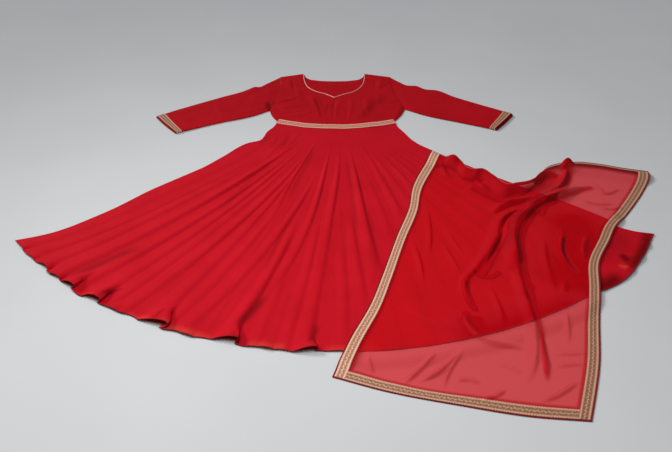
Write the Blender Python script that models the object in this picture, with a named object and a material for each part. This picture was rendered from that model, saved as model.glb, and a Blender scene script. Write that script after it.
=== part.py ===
# A maxi suit laid out on the floor: a flared long-sleeved dress, and a sheer bordered dupatta over one side.
# Plan places are metres from the centre of the hem's circle, x to the wearer's left sleeve, y to the neck.
# Every panel is a thin wall made from its own plan and its own folds, and lies on the one below.
import math

import bmesh
import bpy
import numpy as np

for old in list(bpy.data.objects):
    bpy.data.objects.remove(old, do_unlink=True)

# Cloth and clearances
CLOTH = 0.0012
BACK_CLOTH = 0.0015
LACE = 0.0009
GAP = 0.0003
SEAM = 0.0006
FRONT_LIFT = BACK_CLOTH + GAP

# Skirt
HEM_RADIUS = 1.066
LEFT_HEM = 49.0
RIGHT_HEM = 50.2
WAIST_DROP = 0.117
WAIST_HALF = 0.190
WAIST_RISE = 0.036
WAIST_CORNER = math.degrees(math.atan2(WAIST_HALF, WAIST_DROP - WAIST_RISE))
BACK_HEM_INSET = 0.006
COVERED_FOLD = 0.0020
COVER_START = 0.085
COVER_EDGE = 0.045

# Lace widths
WAIST_LACE = 0.026
CUFF_LACE = 0.026
DUPATTA_LACE = 0.021
CLOTH_EDGE = 0.003
PIPING_RADIUS = 0.0016

# How high the dupatta lies over the skirt, and how it comes down to the floor beside it
BED = 0.0056
BED_SHOULDER = 0.040
BED_SLOPE = 0.045

# Side outline of the skirt: share from waist to hem, then the left and right side's angle in degrees
SKIRT_SIDES = (
    (0.000, WAIST_CORNER, WAIST_CORNER),
    (0.020, 61.2, 61.0),
    (0.066, 56.0, 55.0),
    (0.120, 49.6, 50.0),
    (0.170, 51.4, 48.3),
    (0.285, 48.6, 48.0),
    (0.390, 47.2, 48.0),
    (0.550, 47.3, 48.0),
    (0.725, 46.5, 48.2),
    (0.850, 46.7, 48.5),
    (1.000, LEFT_HEM, RIGHT_HEM),
)

# Run of the skirt's folds: degrees at the hem, degrees at the waist, share of the side's own bend
SKIRT_FAN = (
    (-LEFT_HEM, -WAIST_CORNER, 1.00),
    (-46, -48.0, 0.60),
    (-42, -36.0, 0.20),
    (-37, -27.0, 0.02),
    (-30, -21.0, 0.00),
    (-20, -14.0, 0.00),
    (-10, -8.0, 0.00),
    (0, 0.0, 0.00),
    (8, 9.0, 0.00),
    (15, 18.0, 0.05),
    (25, 30.0, 0.20),
    (35, 42.0, 0.50),
    (42, 50.0, 0.72),
    (46, 56.0, 0.86),
    (RIGHT_HEM, WAIST_CORNER, 1.00),
)

# Folds of the skirt: degrees at the hem, width to the left and to the right in degrees,
# height half way down and at the hem, share of the skirt where the fold starts
SKIRT_FOLDS = (
    (-47.6, 1.2, 1.2, 0.0050, 0.0040, 0.03),
    (-44.6, 1.7, 1.0, 0.0045, 0.0060, 0.06),
    (-41.6, 1.8, 1.0, 0.0050, 0.0080, 0.05),
    (-38.4, 1.9, 1.3, 0.0075, 0.0125, 0.06),
    (-34.6, 1.5, 1.0, 0.0050, 0.0070, 0.10),
    (-31.4, 1.9, 1.1, 0.0055, 0.0090, 0.05),
    (-28.2, 1.6, 0.9, 0.0045, 0.0060, 0.16),
    (-25.2, 1.7, 1.0, 0.0060, 0.0085, 0.04),
    (-22.2, 1.6, 1.1, 0.0050, 0.0100, 0.12),
    (-19.0, 1.7, 0.9, 0.0050, 0.0060, 0.06),
    (-16.2, 1.5, 0.9, 0.0045, 0.0070, 0.20),
    (-13.2, 1.6, 1.2, 0.0060, 0.0110, 0.05),
    (-10.0, 1.5, 0.9, 0.0045, 0.0060, 0.15),
    (-7.0, 1.6, 1.0, 0.0055, 0.0080, 0.07),
    (-3.6, 1.7, 1.2, 0.0050, 0.0090, 0.18),
    (-0.4, 1.5, 1.0, 0.0045, 0.0050, 0.06),
    (3.0, 1.6, 1.0, 0.0050, 0.0030, 0.20),
    (6.6, 1.8, 1.0, 0.0070, 0.0020, 0.12),
    (10.6, 1.8, 1.4, 0.0045, 0.0018, 0.20),
    (14.8, 1.8, 1.4, 0.0040, 0.0018, 0.10),
    (19.2, 2.0, 1.6, 0.0050, 0.0018, 0.06),
    (24.2, 2.1, 1.7, 0.0045, 0.0018, 0.12),
    (29.4, 2.2, 1.7, 0.0040, 0.0018, 0.05),
    (34.6, 2.2, 1.6, 0.0035, 0.0018, 0.10),
    (39.4, 2.0, 1.5, 0.0030, 0.0060, 0.05),
    (43.6, 1.7, 1.3, 0.0030, 0.0080, 0.08),
    (47.2, 1.5, 1.3, 0.0030, 0.0060, 0.05),
)

# Share of the skirt over which a fold grows from its start
FOLD_GROWTH = 0.35

# Places where the hem curls up: degrees, half width in degrees, height, share of the skirt that curls,
# degrees that the crest leans, how far the edge is drawn in
HEM_CURLS = (
    (-46.6, 1.0, 0.006, 0.07, 0.2, 0.001),
    (-40.8, 1.1, 0.011, 0.06, 0.4, 0.002),
    (-35.8, 1.3, 0.016, 0.08, 0.5, 0.003),
    (-31.6, 1.3, 0.018, 0.09, 0.5, 0.003),
    (-22.0, 1.9, 0.024, 0.10, 0.9, 0.004),
    (-11.6, 1.5, 0.017, 0.09, 0.6, 0.003),
    (-3.2, 1.4, 0.018, 0.08, 0.6, 0.003),
    (40.6, 1.2, 0.010, 0.06, -0.3, -0.006),
    (43.6, 1.1, 0.014, 0.08, -0.3, -0.010),
    (46.6, 1.0, 0.010, 0.06, -0.2, -0.006),
)

# Least degrees between the columns of points on the skirt's front
COLUMN_SPACING = 0.72

# Shares of the skirt from waist to hem where the wall has a row of points
SKIRT_ROWS = (0.0, 0.05, 0.12, 0.19, 0.29, 0.41, 0.54, 0.67, 0.79, 0.89, 0.95, 1.0)
BACK_ROWS = (0.0, 0.03, 0.07, 0.12, 0.17, 0.28, 0.45, 0.65, 0.85, 1.0)

# Bodice edges, left and right, from the top down
LEFT_NECK = (
    (-0.120, 0.285), (-0.114, 0.225), (-0.096, 0.167), (-0.068, 0.137), (-0.036, 0.118), (-0.006, 0.092))
RIGHT_NECK = (
    (0.105, 0.285), (0.101, 0.222), (0.086, 0.170), (0.060, 0.136), (0.028, 0.117), (-0.006, 0.092))
LEFT_BACK_NECK = ((-0.120, 0.285), (-0.112, 0.262), (-0.098, 0.244), (-0.066, 0.232), (-0.006, 0.226))
RIGHT_BACK_NECK = ((0.105, 0.285), (0.099, 0.262), (0.086, 0.244), (0.056, 0.232), (-0.006, 0.226))
LEFT_ARMHOLE = ((-0.205, 0.257), (-0.200, 0.200), (-0.203, 0.140), (-0.214, 0.080), (-0.228, 0.005))
RIGHT_ARMHOLE = ((0.200, 0.257), (0.199, 0.200), (0.203, 0.140), (0.215, 0.080), (0.232, 0.005))
LEFT_SIDE = ((-0.228, 0.005), (-0.214, -0.038), (-WAIST_HALF, WAIST_RISE - WAIST_DROP + SEAM / 2))
RIGHT_SIDE = ((0.232, 0.005), (0.215, -0.038), (WAIST_HALF, WAIST_RISE - WAIST_DROP + SEAM / 2))
NECK_SHARE_AT_ARMPIT = 0.62
NECK_SHARE_AT_WAIST = 0.84

# Soft wrinkles of the bodice: route from and to, half width, height
BODICE_WRINKLES = (
    ((-0.090, 0.120), (-0.040, -0.060), 0.022, 0.0026),
    ((0.020, 0.085), (-0.004, -0.060), 0.020, 0.0018),
    ((0.112, 0.110), (0.098, -0.050), 0.026, 0.0026),
    ((-0.215, 0.060), (-0.120, 0.100), 0.020, 0.0022),
    ((-0.205, 0.020), (-0.110, 0.035), 0.018, 0.0020),
    ((0.215, 0.055), (0.135, 0.095), 0.020, 0.0022),
    ((-0.175, 0.250), (-0.160, 0.150), 0.020, 0.0020),
    ((0.165, 0.250), (0.150, 0.160), 0.020, 0.0020),
    ((-0.170, -0.040), (-0.080, -0.020), 0.018, 0.0018),
    ((0.060, -0.020), (0.170, -0.045), 0.018, 0.0018),
)

WRINKLE_FADE = 0.35
BODICE_EDGE = 0.15

# Sleeve edges from the armhole to the cuff, and the cuff's own line from its upper corner
LEFT_SLEEVE_TOP = (
    (-0.205, 0.257), (-0.250, 0.215), (-0.290, 0.176), (-0.400, 0.098), (-0.500, 0.028), (-0.592, -0.046))
LEFT_SLEEVE_UNDER = ((-0.228, 0.005), (-0.270, -0.036), (-0.380, -0.090), (-0.507, -0.157))
LEFT_CUFF = ((-0.592, -0.046), (-0.552, -0.103), (-0.507, -0.157))
RIGHT_SLEEVE_TOP = (
    (0.200, 0.257), (0.225, 0.217), (0.252, 0.190), (0.290, 0.179), (0.345, 0.143), (0.400, 0.099),
    (0.500, 0.031), (0.584, -0.031))
RIGHT_SLEEVE_UNDER = ((0.232, 0.005), (0.300, -0.040), (0.400, -0.085), (0.510, -0.135))
RIGHT_CUFF = ((0.584, -0.031), (0.550, -0.083), (0.510, -0.135))
SLEEVE_HEIGHT = 0.0052
RIGHT_CUFF_HEIGHT = 0.0062

# Section of a sleeve laid flat: share of its width, share of its height; it starts at the upper edge
SLEEVE_RING = (
    (0.000, 0.45), (0.025, 0.82), (0.120, 0.98), (0.320, 1.00), (0.500, 1.00), (0.680, 1.00), (0.880, 0.98),
    (0.975, 0.82), (1.000, 0.45),
    (0.975, 0.00), (0.880, 0.00), (0.680, 0.00), (0.500, 0.00), (0.320, 0.00), (0.120, 0.00), (0.025, 0.00),
)

# Shares of a sleeve's length where it has a ring of points, and where its lace starts to lift it off the floor
SLEEVE_ROWS = (0.0, 0.08, 0.17, 0.28, 0.40, 0.52, 0.64, 0.76, 0.87)
CUFF_LIFT_FROM = 0.76
CUFF_LIFT_OVER = 0.11

# Dupatta edges: left and right run from the bottom up, bottom and top from the left
DUPATTA_LEFT = (
    (-0.010, -1.125), (0.025, -1.030), (0.078, -0.925), (0.105, -0.840), (0.155, -0.680), (0.195, -0.560),
    (0.212, -0.470), (0.252, -0.365), (0.290, -0.258))
DUPATTA_RIGHT = (
    (0.475, -1.235), (0.515, -1.120), (0.565, -0.980), (0.606, -0.870), (0.636, -0.782), (0.695, -0.670),
    (0.770, -0.575), (0.840, -0.480), (0.905, -0.375))
DUPATTA_BOTTOM = ((-0.010, -1.125), (0.100, -1.168), (0.240, -1.200), (0.360, -1.226), (0.475, -1.235))
DUPATTA_TOP = (
    (0.290, -0.258), (0.350, -0.306), (0.400, -0.361), (0.445, -0.410), (0.482, -0.433), (0.530, -0.425),
    (0.580, -0.405), (0.635, -0.350), (0.690, -0.317), (0.760, -0.330), (0.840, -0.353), (0.905, -0.375))
DUPATTA_COLUMNS = 24
DUPATTA_ROWS = 32

# Folds of the dupatta: half width, height, share of its length over which each end fades, crest's route
DUPATTA_FOLDS = (
    (0.030, 0.019, 0.12, ((0.300, -0.300), (0.350, -0.345), (0.400, -0.395), (0.450, -0.450), (0.500, -0.472),
                          (0.560, -0.455), (0.610, -0.420))),
    (0.032, 0.020, 0.22, ((0.690, -0.345), (0.660, -0.400), (0.600, -0.460), (0.520, -0.520), (0.450, -0.560),
                          (0.400, -0.590))),
    (0.032, 0.018, 0.10, ((0.620, -0.500), (0.550, -0.530), (0.490, -0.585), (0.455, -0.650), (0.448, -0.740),
                          (0.438, -0.880), (0.428, -1.000), (0.408, -1.090), (0.380, -1.190))),
    (0.028, 0.011, 0.22, ((0.430, -0.610), (0.405, -0.690), (0.365, -0.775), (0.325, -0.850), (0.318, -0.930),
                          (0.298, -1.020))),
    (0.026, 0.009, 0.30, ((0.585, -0.660), (0.570, -0.720), (0.562, -0.790))),
    (0.024, 0.007, 0.30, ((0.275, -0.640), (0.298, -0.710), (0.312, -0.790))),
    (0.026, 0.008, 0.30, ((0.245, -1.010), (0.190, -1.070), (0.135, -1.130))),
    (0.024, 0.007, 0.30, ((0.700, -0.420), (0.760, -0.430), (0.820, -0.450))),
)
FOLD_SAMPLES = 48


def srgb(red, green, blue):
    """A display colour of 0 to 255, as the linear colour that a shader takes."""
    return tuple(((value / 255 + 0.055) / 1.055) ** 2.4 for value in (red, green, blue)) + (1.0,)


def material(name, colour, roughness, metallic=0.0):
    """A plain shader material."""
    made = bpy.data.materials.new(name)
    made.use_nodes = True
    shader = made.node_tree.nodes["Principled BSDF"]
    shader.inputs["Base Color"].default_value = colour
    shader.inputs["Roughness"].default_value = roughness
    shader.inputs["Metallic"].default_value = metallic
    return made


def smooth(share):
    """An even ramp from 0 to 1, held outside."""
    share = np.clip(share, 0.0, 1.0)
    return share * share * (3 - 2 * share)


def bump(offset):
    """A rounded crest, 1 at 0 and 0 from 1 outwards."""
    return 0.5 + 0.5 * np.cos(math.pi * np.clip(np.abs(offset), 0.0, 1.0))


def hermite(knots, values, slopes, at):
    """Values on cubic stretches between knots."""
    at = np.clip(at, knots[0], knots[-1])
    low = np.clip(np.searchsorted(knots, at) - 1, 0, len(knots) - 2)
    width = knots[low + 1] - knots[low]
    share = (at - knots[low]) / width
    rise = share * share * (3 - 2 * share)
    leave = share * (1 - share) ** 2
    arrive = share * share * (share - 1)
    return ((1 - rise) * values[low] + rise * values[low + 1]
            + width * (leave * slopes[low] + arrive * slopes[low + 1]))


def through(rows, column, at):
    """One column of a table read at any value of its first column, with no overshoot between rows."""
    table = np.array(rows, dtype=float)
    knots = table[:, 0]
    values = table[:, column]
    steps = np.diff(values) / np.diff(knots)
    slopes = np.zeros(len(knots))
    slopes[0] = steps[0]
    slopes[-1] = steps[-1]
    for row in range(1, len(knots) - 1):
        if steps[row - 1] * steps[row] > 0:
            slopes[row] = 2 * steps[row - 1] * steps[row] / (steps[row - 1] + steps[row])
    return hermite(knots, values, slopes, np.asarray(at, dtype=float))


def along(points, share):
    """Places on a smooth curve through the points, where 0 is the first point and 1 the last."""
    places = np.array(points, dtype=float)
    lengths = np.linalg.norm(np.diff(places, axis=0), axis=1)
    knots = np.concatenate(([0.0], np.cumsum(lengths))) / lengths.sum()
    share = np.asarray(share, dtype=float)
    sides = [hermite(knots, places[:, side], np.gradient(places[:, side], knots), share) for side in (0, 1)]
    return np.stack(sides, axis=-1)


def coons(low, high, left, right, u, v):
    """Plan places between four edges: low and high run with u, left and right run with v."""
    u, v = np.broadcast_arrays(np.asarray(u, dtype=float), np.asarray(v, dtype=float))
    across = (1 - v)[..., None] * along(low, u) + v[..., None] * along(high, u)
    upward = (1 - u)[..., None] * along(left, v) + u[..., None] * along(right, v)
    first = (1 - u)[..., None] * np.array(low[0]) + u[..., None] * np.array(low[-1])
    last = (1 - u)[..., None] * np.array(high[0]) + u[..., None] * np.array(high[-1])
    return across + upward - ((1 - v)[..., None] * first + v[..., None] * last)


def ridge(plan, route, width, height, fade):
    """Height of a rounded fold whose crest follows a route in plan."""
    shares = np.linspace(0.0, 1.0, FOLD_SAMPLES)
    crest = along(route, shares)
    away = np.linalg.norm(plan[..., None, :] - crest, axis=-1)
    nearest = np.argmin(away, axis=-1)
    distance = np.min(away, axis=-1)
    share = shares[nearest]
    ends = smooth(share / fade) * smooth((1 - share) / fade)
    return height * ends * bump(distance / width)


def face_up(grid):
    """Unit normals at a grid's points, all facing up."""
    normals = np.cross(np.gradient(grid, axis=1), np.gradient(grid, axis=0))
    normals /= np.linalg.norm(normals, axis=-1, keepdims=True)
    return normals * np.sign(normals[..., 2:3])


def solid(name, points, triangles, look):
    """One closed body from points and triangles."""
    mesh = bpy.data.meshes.new(name)
    mesh.from_pydata([tuple(point) for point in points], [], triangles)
    body = bmesh.new()
    body.from_mesh(mesh)
    bmesh.ops.recalc_face_normals(body, faces=body.faces)
    body.to_mesh(mesh)
    body.free()
    mesh.shade_smooth()
    mesh.set_sharp_from_angle(angle=math.radians(50))
    mesh.materials.append(look)
    thing = bpy.data.objects.new(name, mesh)
    bpy.context.scene.collection.objects.link(thing)
    return thing


def wall(name, grid, normals, low, high, look):
    """A sheet between two heights over a grid of points, with the same diagonals above and below."""
    rows, columns = grid.shape[:2]
    count = rows * columns
    points = np.concatenate(((grid + normals * low).reshape(-1, 3), (grid + normals * high).reshape(-1, 3)))
    triangles = []
    for row in range(rows - 1):
        for column in range(columns - 1):
            a = row * columns + column
            b = a + 1
            c = b + columns
            d = a + columns
            triangles += [(a, b, c), (a, c, d)]
            triangles += [(a + count, c + count, b + count), (a + count, d + count, c + count)]
    rim = list(range(columns))
    rim += [row * columns + columns - 1 for row in range(1, rows)]
    rim += [(rows - 1) * columns + column for column in range(columns - 2, -1, -1)]
    rim += [row * columns for row in range(rows - 2, 0, -1)]
    for first, second in zip(rim, rim[1:] + rim[:1]):
        triangles += [(first, second + count, second), (first, first + count, second + count)]
    return solid(name, points, triangles, look)


def tube(name, outer, inner, look):
    """A sleeve of cloth between an outer and an inner set of rings."""
    rows, columns = outer.shape[:2]
    count = rows * columns
    points = np.concatenate((outer.reshape(-1, 3), inner.reshape(-1, 3)))
    triangles = []
    for row in range(rows):
        for column in range(columns):
            a = row * columns + column
            b = row * columns + (column + 1) % columns
            if row < rows - 1:
                c = b + columns
                d = a + columns
                triangles += [(a, b, c), (a, c, d)]
                triangles += [(a + count, c + count, b + count), (a + count, d + count, c + count)]
            if row in (0, rows - 1):
                triangles += [(a, b + count, b), (a, a + count, b + count)]
    return solid(name, points, triangles, look)


# Plan of the skirt
def waist_line(x):
    """Height up the plan of the waist seam."""
    return -WAIST_DROP + WAIST_RISE * (x / WAIST_HALF) ** 2


def waist_radius(degrees):
    """Distance from the hem's centre to the waist seam, at an angle."""
    angle = np.radians(degrees)
    bend = WAIST_RISE / WAIST_HALF ** 2 * np.sin(angle) ** 2
    return 2 * WAIST_DROP / (np.cos(angle) + np.sqrt(np.cos(angle) ** 2 + 4 * bend * WAIST_DROP))


def skirt_angle(hem, share):
    """Angle, share of the way down, of the fold line that reaches the hem at an angle."""
    waist = through(SKIRT_FAN, 1, hem)
    weight = through(SKIRT_FAN, 2, hem)
    left = WAIST_CORNER + (LEFT_HEM - WAIST_CORNER) * share - through(SKIRT_SIDES, 1, share)
    right = through(SKIRT_SIDES, 2, share) - WAIST_CORNER - (RIGHT_HEM - WAIST_CORNER) * share
    return waist + (hem - waist) * share + weight * np.where(hem < 0, left, right)


def curl(hem, share):
    """Height, lean and draw of the hem's curls."""
    height = np.zeros(np.broadcast(hem, share).shape)
    lean = np.zeros(height.shape)
    draw = np.zeros(height.shape)
    for degrees, width, rise, length, slant, inward in HEM_CURLS:
        strength = bump((hem - degrees) / width) * smooth((share - 1 + length) / length)
        height += rise * strength
        lean += slant * strength
        draw += inward * strength
    return height, lean, draw


def skirt_plan(hem, share, inset=0.0):
    """Plan places of the skirt, for degrees at the hem and shares of the way down."""
    hem, share = np.broadcast_arrays(np.asarray(hem, dtype=float), np.asarray(share, dtype=float))
    lean, draw = curl(hem, share)[1:]
    angle = np.radians(skirt_angle(hem, share) + lean)
    start = waist_radius(through(SKIRT_FAN, 1, hem))
    radius = start + (HEM_RADIUS - inset - start) * share - draw
    return np.stack((radius * np.sin(angle), -radius * np.cos(angle) - SEAM / 2 * (1 - share)), axis=-1)


def covered(plan):
    """1 where the dupatta lies on the skirt, 0 clear of it."""
    left = np.array(DUPATTA_LEFT)
    right = np.array(DUPATTA_RIGHT)
    from_left = plan[..., 0] - np.interp(plan[..., 1], left[:, 1], left[:, 0])
    from_right = np.interp(plan[..., 1], right[:, 1], right[:, 0]) - plan[..., 0]
    return smooth((from_left + COVER_START) / COVER_EDGE) * smooth((from_right + COVER_START) / COVER_EDGE)


def skirt_folds(hem, share):
    """Height of the folds of the skirt's front."""
    hem, share = np.broadcast_arrays(np.asarray(hem, dtype=float), np.asarray(share, dtype=float))
    height = np.zeros(hem.shape)
    for degrees, left, right, middle, low, start in SKIRT_FOLDS:
        width = np.where(hem < degrees, left, right)
        rise = middle + (low - middle) * smooth((share - 0.5) / 0.5)
        grown = smooth((share - start) / FOLD_GROWTH)
        height = np.maximum(height, rise * grown * bump((hem - degrees) / width))
    height = np.maximum(height, curl(hem, share)[0])
    cover = covered(skirt_plan(hem, share))
    return (1 - cover) * height + cover * np.minimum(height, COVERED_FOLD)


def skirt_columns():
    """Angles at the hem where the skirt's front has a column of points."""
    angles = {-LEFT_HEM, 1 - LEFT_HEM, RIGHT_HEM - 1, RIGHT_HEM}
    for degrees, left, right in [row[:3] for row in SKIRT_FOLDS]:
        angles |= {degrees - left, degrees - left / 2, degrees, degrees + right / 2, degrees + right}
    for degrees, width in [row[:2] for row in HEM_CURLS]:
        angles |= {degrees - width, degrees, degrees + width}
    kept = []
    for angle in sorted(angle for angle in angles if -LEFT_HEM <= angle <= RIGHT_HEM):
        if not kept or angle - kept[-1] > COLUMN_SPACING or angle == RIGHT_HEM:
            kept.append(angle)
    return np.array(kept)


# Plan of the dupatta
def dupatta_places(columns, rows):
    """Shares across and up the dupatta, with its lace's edges on the first and last lines of the grid."""
    def lines(count, size):
        border = np.array((0.0, CLOTH_EDGE, CLOTH_EDGE + DUPATTA_LACE))
        inner = np.linspace(border[-1], size - border[-1], count - 3)[1:-1]
        return np.concatenate((border, inner, size - border[::-1])) / size
    bottom = np.linalg.norm(np.subtract(DUPATTA_BOTTOM[0], DUPATTA_BOTTOM[-1]))
    top = np.linalg.norm(np.subtract(DUPATTA_TOP[0], DUPATTA_TOP[-1]))
    side = np.linalg.norm(np.subtract(DUPATTA_LEFT[0], DUPATTA_LEFT[-1]))
    v = lines(rows, side)
    u = np.stack([lines(columns, bottom + (top - bottom) * level) for level in v])
    return u, np.repeat(v[:, None], u.shape[1], axis=1)


def beside_skirt(plan):
    """Distance of a plan place outside the skirt's outline, 0 inside it."""
    radius = np.linalg.norm(plan, axis=-1)
    angle = np.degrees(np.arctan2(plan[..., 0], -plan[..., 1]))
    start = waist_radius(WAIST_CORNER)
    side = through(SKIRT_SIDES, 2, (radius - start) / (HEM_RADIUS - start))
    past_side = np.clip(np.radians(angle - side) * radius, 0.0, None)
    past_hem = np.clip(radius - HEM_RADIUS, 0.0, None)
    return np.hypot(past_side, past_hem)


def dupatta_grid():
    """Points of the dupatta's underside."""
    u, v = dupatta_places(DUPATTA_COLUMNS, DUPATTA_ROWS)
    plan = coons(DUPATTA_BOTTOM, DUPATTA_TOP, DUPATTA_LEFT, DUPATTA_RIGHT, u, v)
    height = BED * (1 - smooth((beside_skirt(plan) - BED_SHOULDER) / BED_SLOPE))
    folds = np.zeros(height.shape)
    for width, rise, fade, route in DUPATTA_FOLDS:
        folds = np.maximum(folds, ridge(plan, route, width, rise, fade))
    return np.concatenate((plan, (height + folds)[..., None]), axis=-1)


def make_dupatta(cloth, lace):
    """The dupatta and the four strips of lace on its edges."""
    grid = dupatta_grid()
    normals = face_up(grid)
    wall("dupatta", grid, normals, 0.0, CLOTH, cloth)
    low = CLOTH + GAP
    strips = (
        ("dupatta_lace_left", slice(1, -1), slice(1, 3)),
        ("dupatta_lace_right", slice(1, -1), slice(-3, -1)),
        ("dupatta_lace_bottom", slice(1, 3), slice(2, -2)),
        ("dupatta_lace_top", slice(-3, -1), slice(2, -2)),
    )
    for name, rows, columns in strips:
        piece = grid[rows, columns].copy()
        facing = normals[rows, columns].copy()
        if columns == slice(2, -2):
            for end, beside in ((0, 1), (-1, -2)):
                step = piece[:, beside] - piece[:, end]
                share = SEAM / np.linalg.norm(step, axis=-1, keepdims=True)
                piece[:, end] += step * share
                facing[:, end] += (facing[:, beside] - facing[:, end]) * share
        wall(name, piece, facing, low, low + LACE, lace)


# Plan of the bodice
def bodice_stretches(left_neck, right_neck):
    """Inner and outer edge of each stretch of the bodice, from the left shoulder round to the right one."""
    armpit = NECK_SHARE_AT_ARMPIT
    waist = NECK_SHARE_AT_WAIST

    def waist_edge(start, end):
        def places(share):
            x = start + (end - start) * np.asarray(share)
            return np.stack((x, waist_line(x) + SEAM / 2), axis=-1)
        return places

    def edge(points, start=0.0, end=1.0):
        return lambda share: along(points, start + (end - start) * np.asarray(share))

    return (
        (edge(left_neck, 0, armpit), edge(LEFT_ARMHOLE), ring_shares()),
        (edge(left_neck, armpit, waist), edge(LEFT_SIDE), (0.33, 0.67, 1.0)),
        (edge(left_neck, waist, 1), waist_edge(-WAIST_HALF, 0.0), (0.2, 0.4, 0.6, 0.8, 1.0)),
        (edge(right_neck, 1, waist), waist_edge(0.0, WAIST_HALF), (0.2, 0.4, 0.6, 0.8, 1.0)),
        (edge(right_neck, waist, armpit), edge(RIGHT_SIDE, 1, 0), (0.33, 0.67, 1.0)),
        (edge(right_neck, armpit, 0), edge(RIGHT_ARMHOLE, 1, 0), 1 - ring_shares()[-2::-1]),
    )


def ring_shares():
    """Shares of a sleeve's width at its upper points, which the armholes repeat."""
    half = len(SLEEVE_RING) // 2
    return np.array([row[0] for row in SLEEVE_RING[:half + 1]])


def bodice_grid(left_neck, right_neck, levels):
    """Plan places of a bodice panel from its neckline out."""
    inner = []
    outer = []
    for neck, rim, shares in bodice_stretches(left_neck, right_neck):
        inner.append(neck(shares))
        outer.append(rim(shares))
    inner = np.concatenate(inner)
    outer = np.concatenate(outer)
    level = np.array(levels)[:, None, None]
    return (1 - level) * inner + level * outer


def beside(route, away):
    """A line kept at an even distance to the left of a route in plan."""
    steps = np.diff(route, axis=0)
    steps /= np.linalg.norm(steps, axis=1, keepdims=True)
    before = np.concatenate((steps[:1], steps))
    middle = before + np.concatenate((steps, steps[-1:]))
    middle /= np.linalg.norm(middle, axis=1, keepdims=True)
    facing = np.stack((-middle[:, 1], middle[:, 0]), axis=-1)
    turn = (before * middle).sum(axis=1)
    return route + facing * (away / turn)[:, None]


def bodice_relief(plan, levels):
    """Height of the bodice's soft wrinkles, none at its edges."""
    height = np.zeros(plan.shape[:2])
    for start, end, width, rise in BODICE_WRINKLES:
        height = np.maximum(height, ridge(plan, (start, end), width, rise, WRINKLE_FADE))
    level = np.array(levels)[:, None]
    return height * smooth(level / BODICE_EDGE) * smooth((1 - level) / BODICE_EDGE)


def make_bodice(cloth, inside, piping):
    """Front and back of the bodice, and the gold piping along the front neckline."""
    levels = (0.0, 0.15, 0.3, 0.5, 0.7, 0.85, 1.0)
    plan = bodice_grid(LEFT_NECK, RIGHT_NECK, levels)
    neck = plan[0]
    height = FRONT_LIFT + bodice_relief(plan, levels)
    grid = np.concatenate((plan, height[..., None]), axis=-1)
    wall("bodice_front", grid, face_up(grid), 0.0, CLOTH, cloth)
    plan = bodice_grid(LEFT_BACK_NECK, RIGHT_BACK_NECK, (0.0, 0.5, 1.0))
    grid = np.concatenate((plan, np.zeros(plan.shape[:2] + (1,))), axis=-1)
    wall("bodice_back", grid, face_up(grid), 0.0, BACK_CLOTH, inside)
    edge = beside(neck, PIPING_RADIUS + GAP)
    curve = bpy.data.curves.new("neck_piping", "CURVE")
    curve.dimensions = "3D"
    curve.bevel_depth = PIPING_RADIUS
    curve.bevel_resolution = 1
    curve.use_fill_caps = True
    spline = curve.splines.new("POLY")
    spline.points.add(len(edge) - 1)
    for point, (x, y) in zip(spline.points, edge):
        point.co = (x, y, FRONT_LIFT + PIPING_RADIUS, 1.0)
    curve.materials.append(piping)
    bpy.context.scene.collection.objects.link(bpy.data.objects.new("neck_piping", curve))


# Skirt and waist lace
def make_skirt(cloth, inside, lace):
    """Front and back of the skirt, and the band of lace over the waist seam."""
    columns = skirt_columns()
    share = np.array(SKIRT_ROWS)[:, None]
    plan = skirt_plan(columns[None, :], share)
    height = FRONT_LIFT + skirt_folds(columns[None, :], share)
    grid = np.concatenate((plan, height[..., None]), axis=-1)
    wall("skirt_front", grid, face_up(grid), 0.0, CLOTH, cloth)
    sides = np.array((0.0, 1.0, 2.0))
    columns = np.concatenate((sides - LEFT_HEM, np.linspace(-46.0, 46.0, 24), RIGHT_HEM - sides[::-1]))
    plan = skirt_plan(columns[None, :], np.array(BACK_ROWS)[:, None], BACK_HEM_INSET)
    grid = np.concatenate((plan, np.zeros(plan.shape[:2] + (1,))), axis=-1)
    wall("skirt_back", grid, face_up(grid), 0.0, BACK_CLOTH, inside)
    x = np.linspace(-WAIST_HALF, WAIST_HALF, 19)
    levels = np.linspace(0.5, -0.5, 4)
    y = waist_line(x)[None, :] + WAIST_LACE * levels[:, None]
    grid = np.stack((np.broadcast_to(x, y.shape), y, np.zeros(y.shape)), axis=-1)
    bottom = FRONT_LIFT + CLOTH + GAP
    wall("waist_lace", grid, face_up(grid), bottom, bottom + LACE, lace)


# Sleeves and cuffs
def inset(ring, depth):
    """A closed section moved inwards by a depth, or outwards where it is negative."""
    before = ring - np.roll(ring, 1, axis=0)
    after = np.roll(ring, -1, axis=0) - ring
    before /= np.linalg.norm(before, axis=1, keepdims=True)
    after /= np.linalg.norm(after, axis=1, keepdims=True)
    middle = before + after
    middle /= np.linalg.norm(middle, axis=1, keepdims=True)
    facing = np.stack((middle[:, 1], -middle[:, 0]), axis=-1)
    spread = np.clip((facing * np.stack((before[:, 1], -before[:, 0]), axis=-1)).sum(axis=1), 0.5, 1.0)
    return ring + facing * (depth / spread)[:, None]


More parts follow.
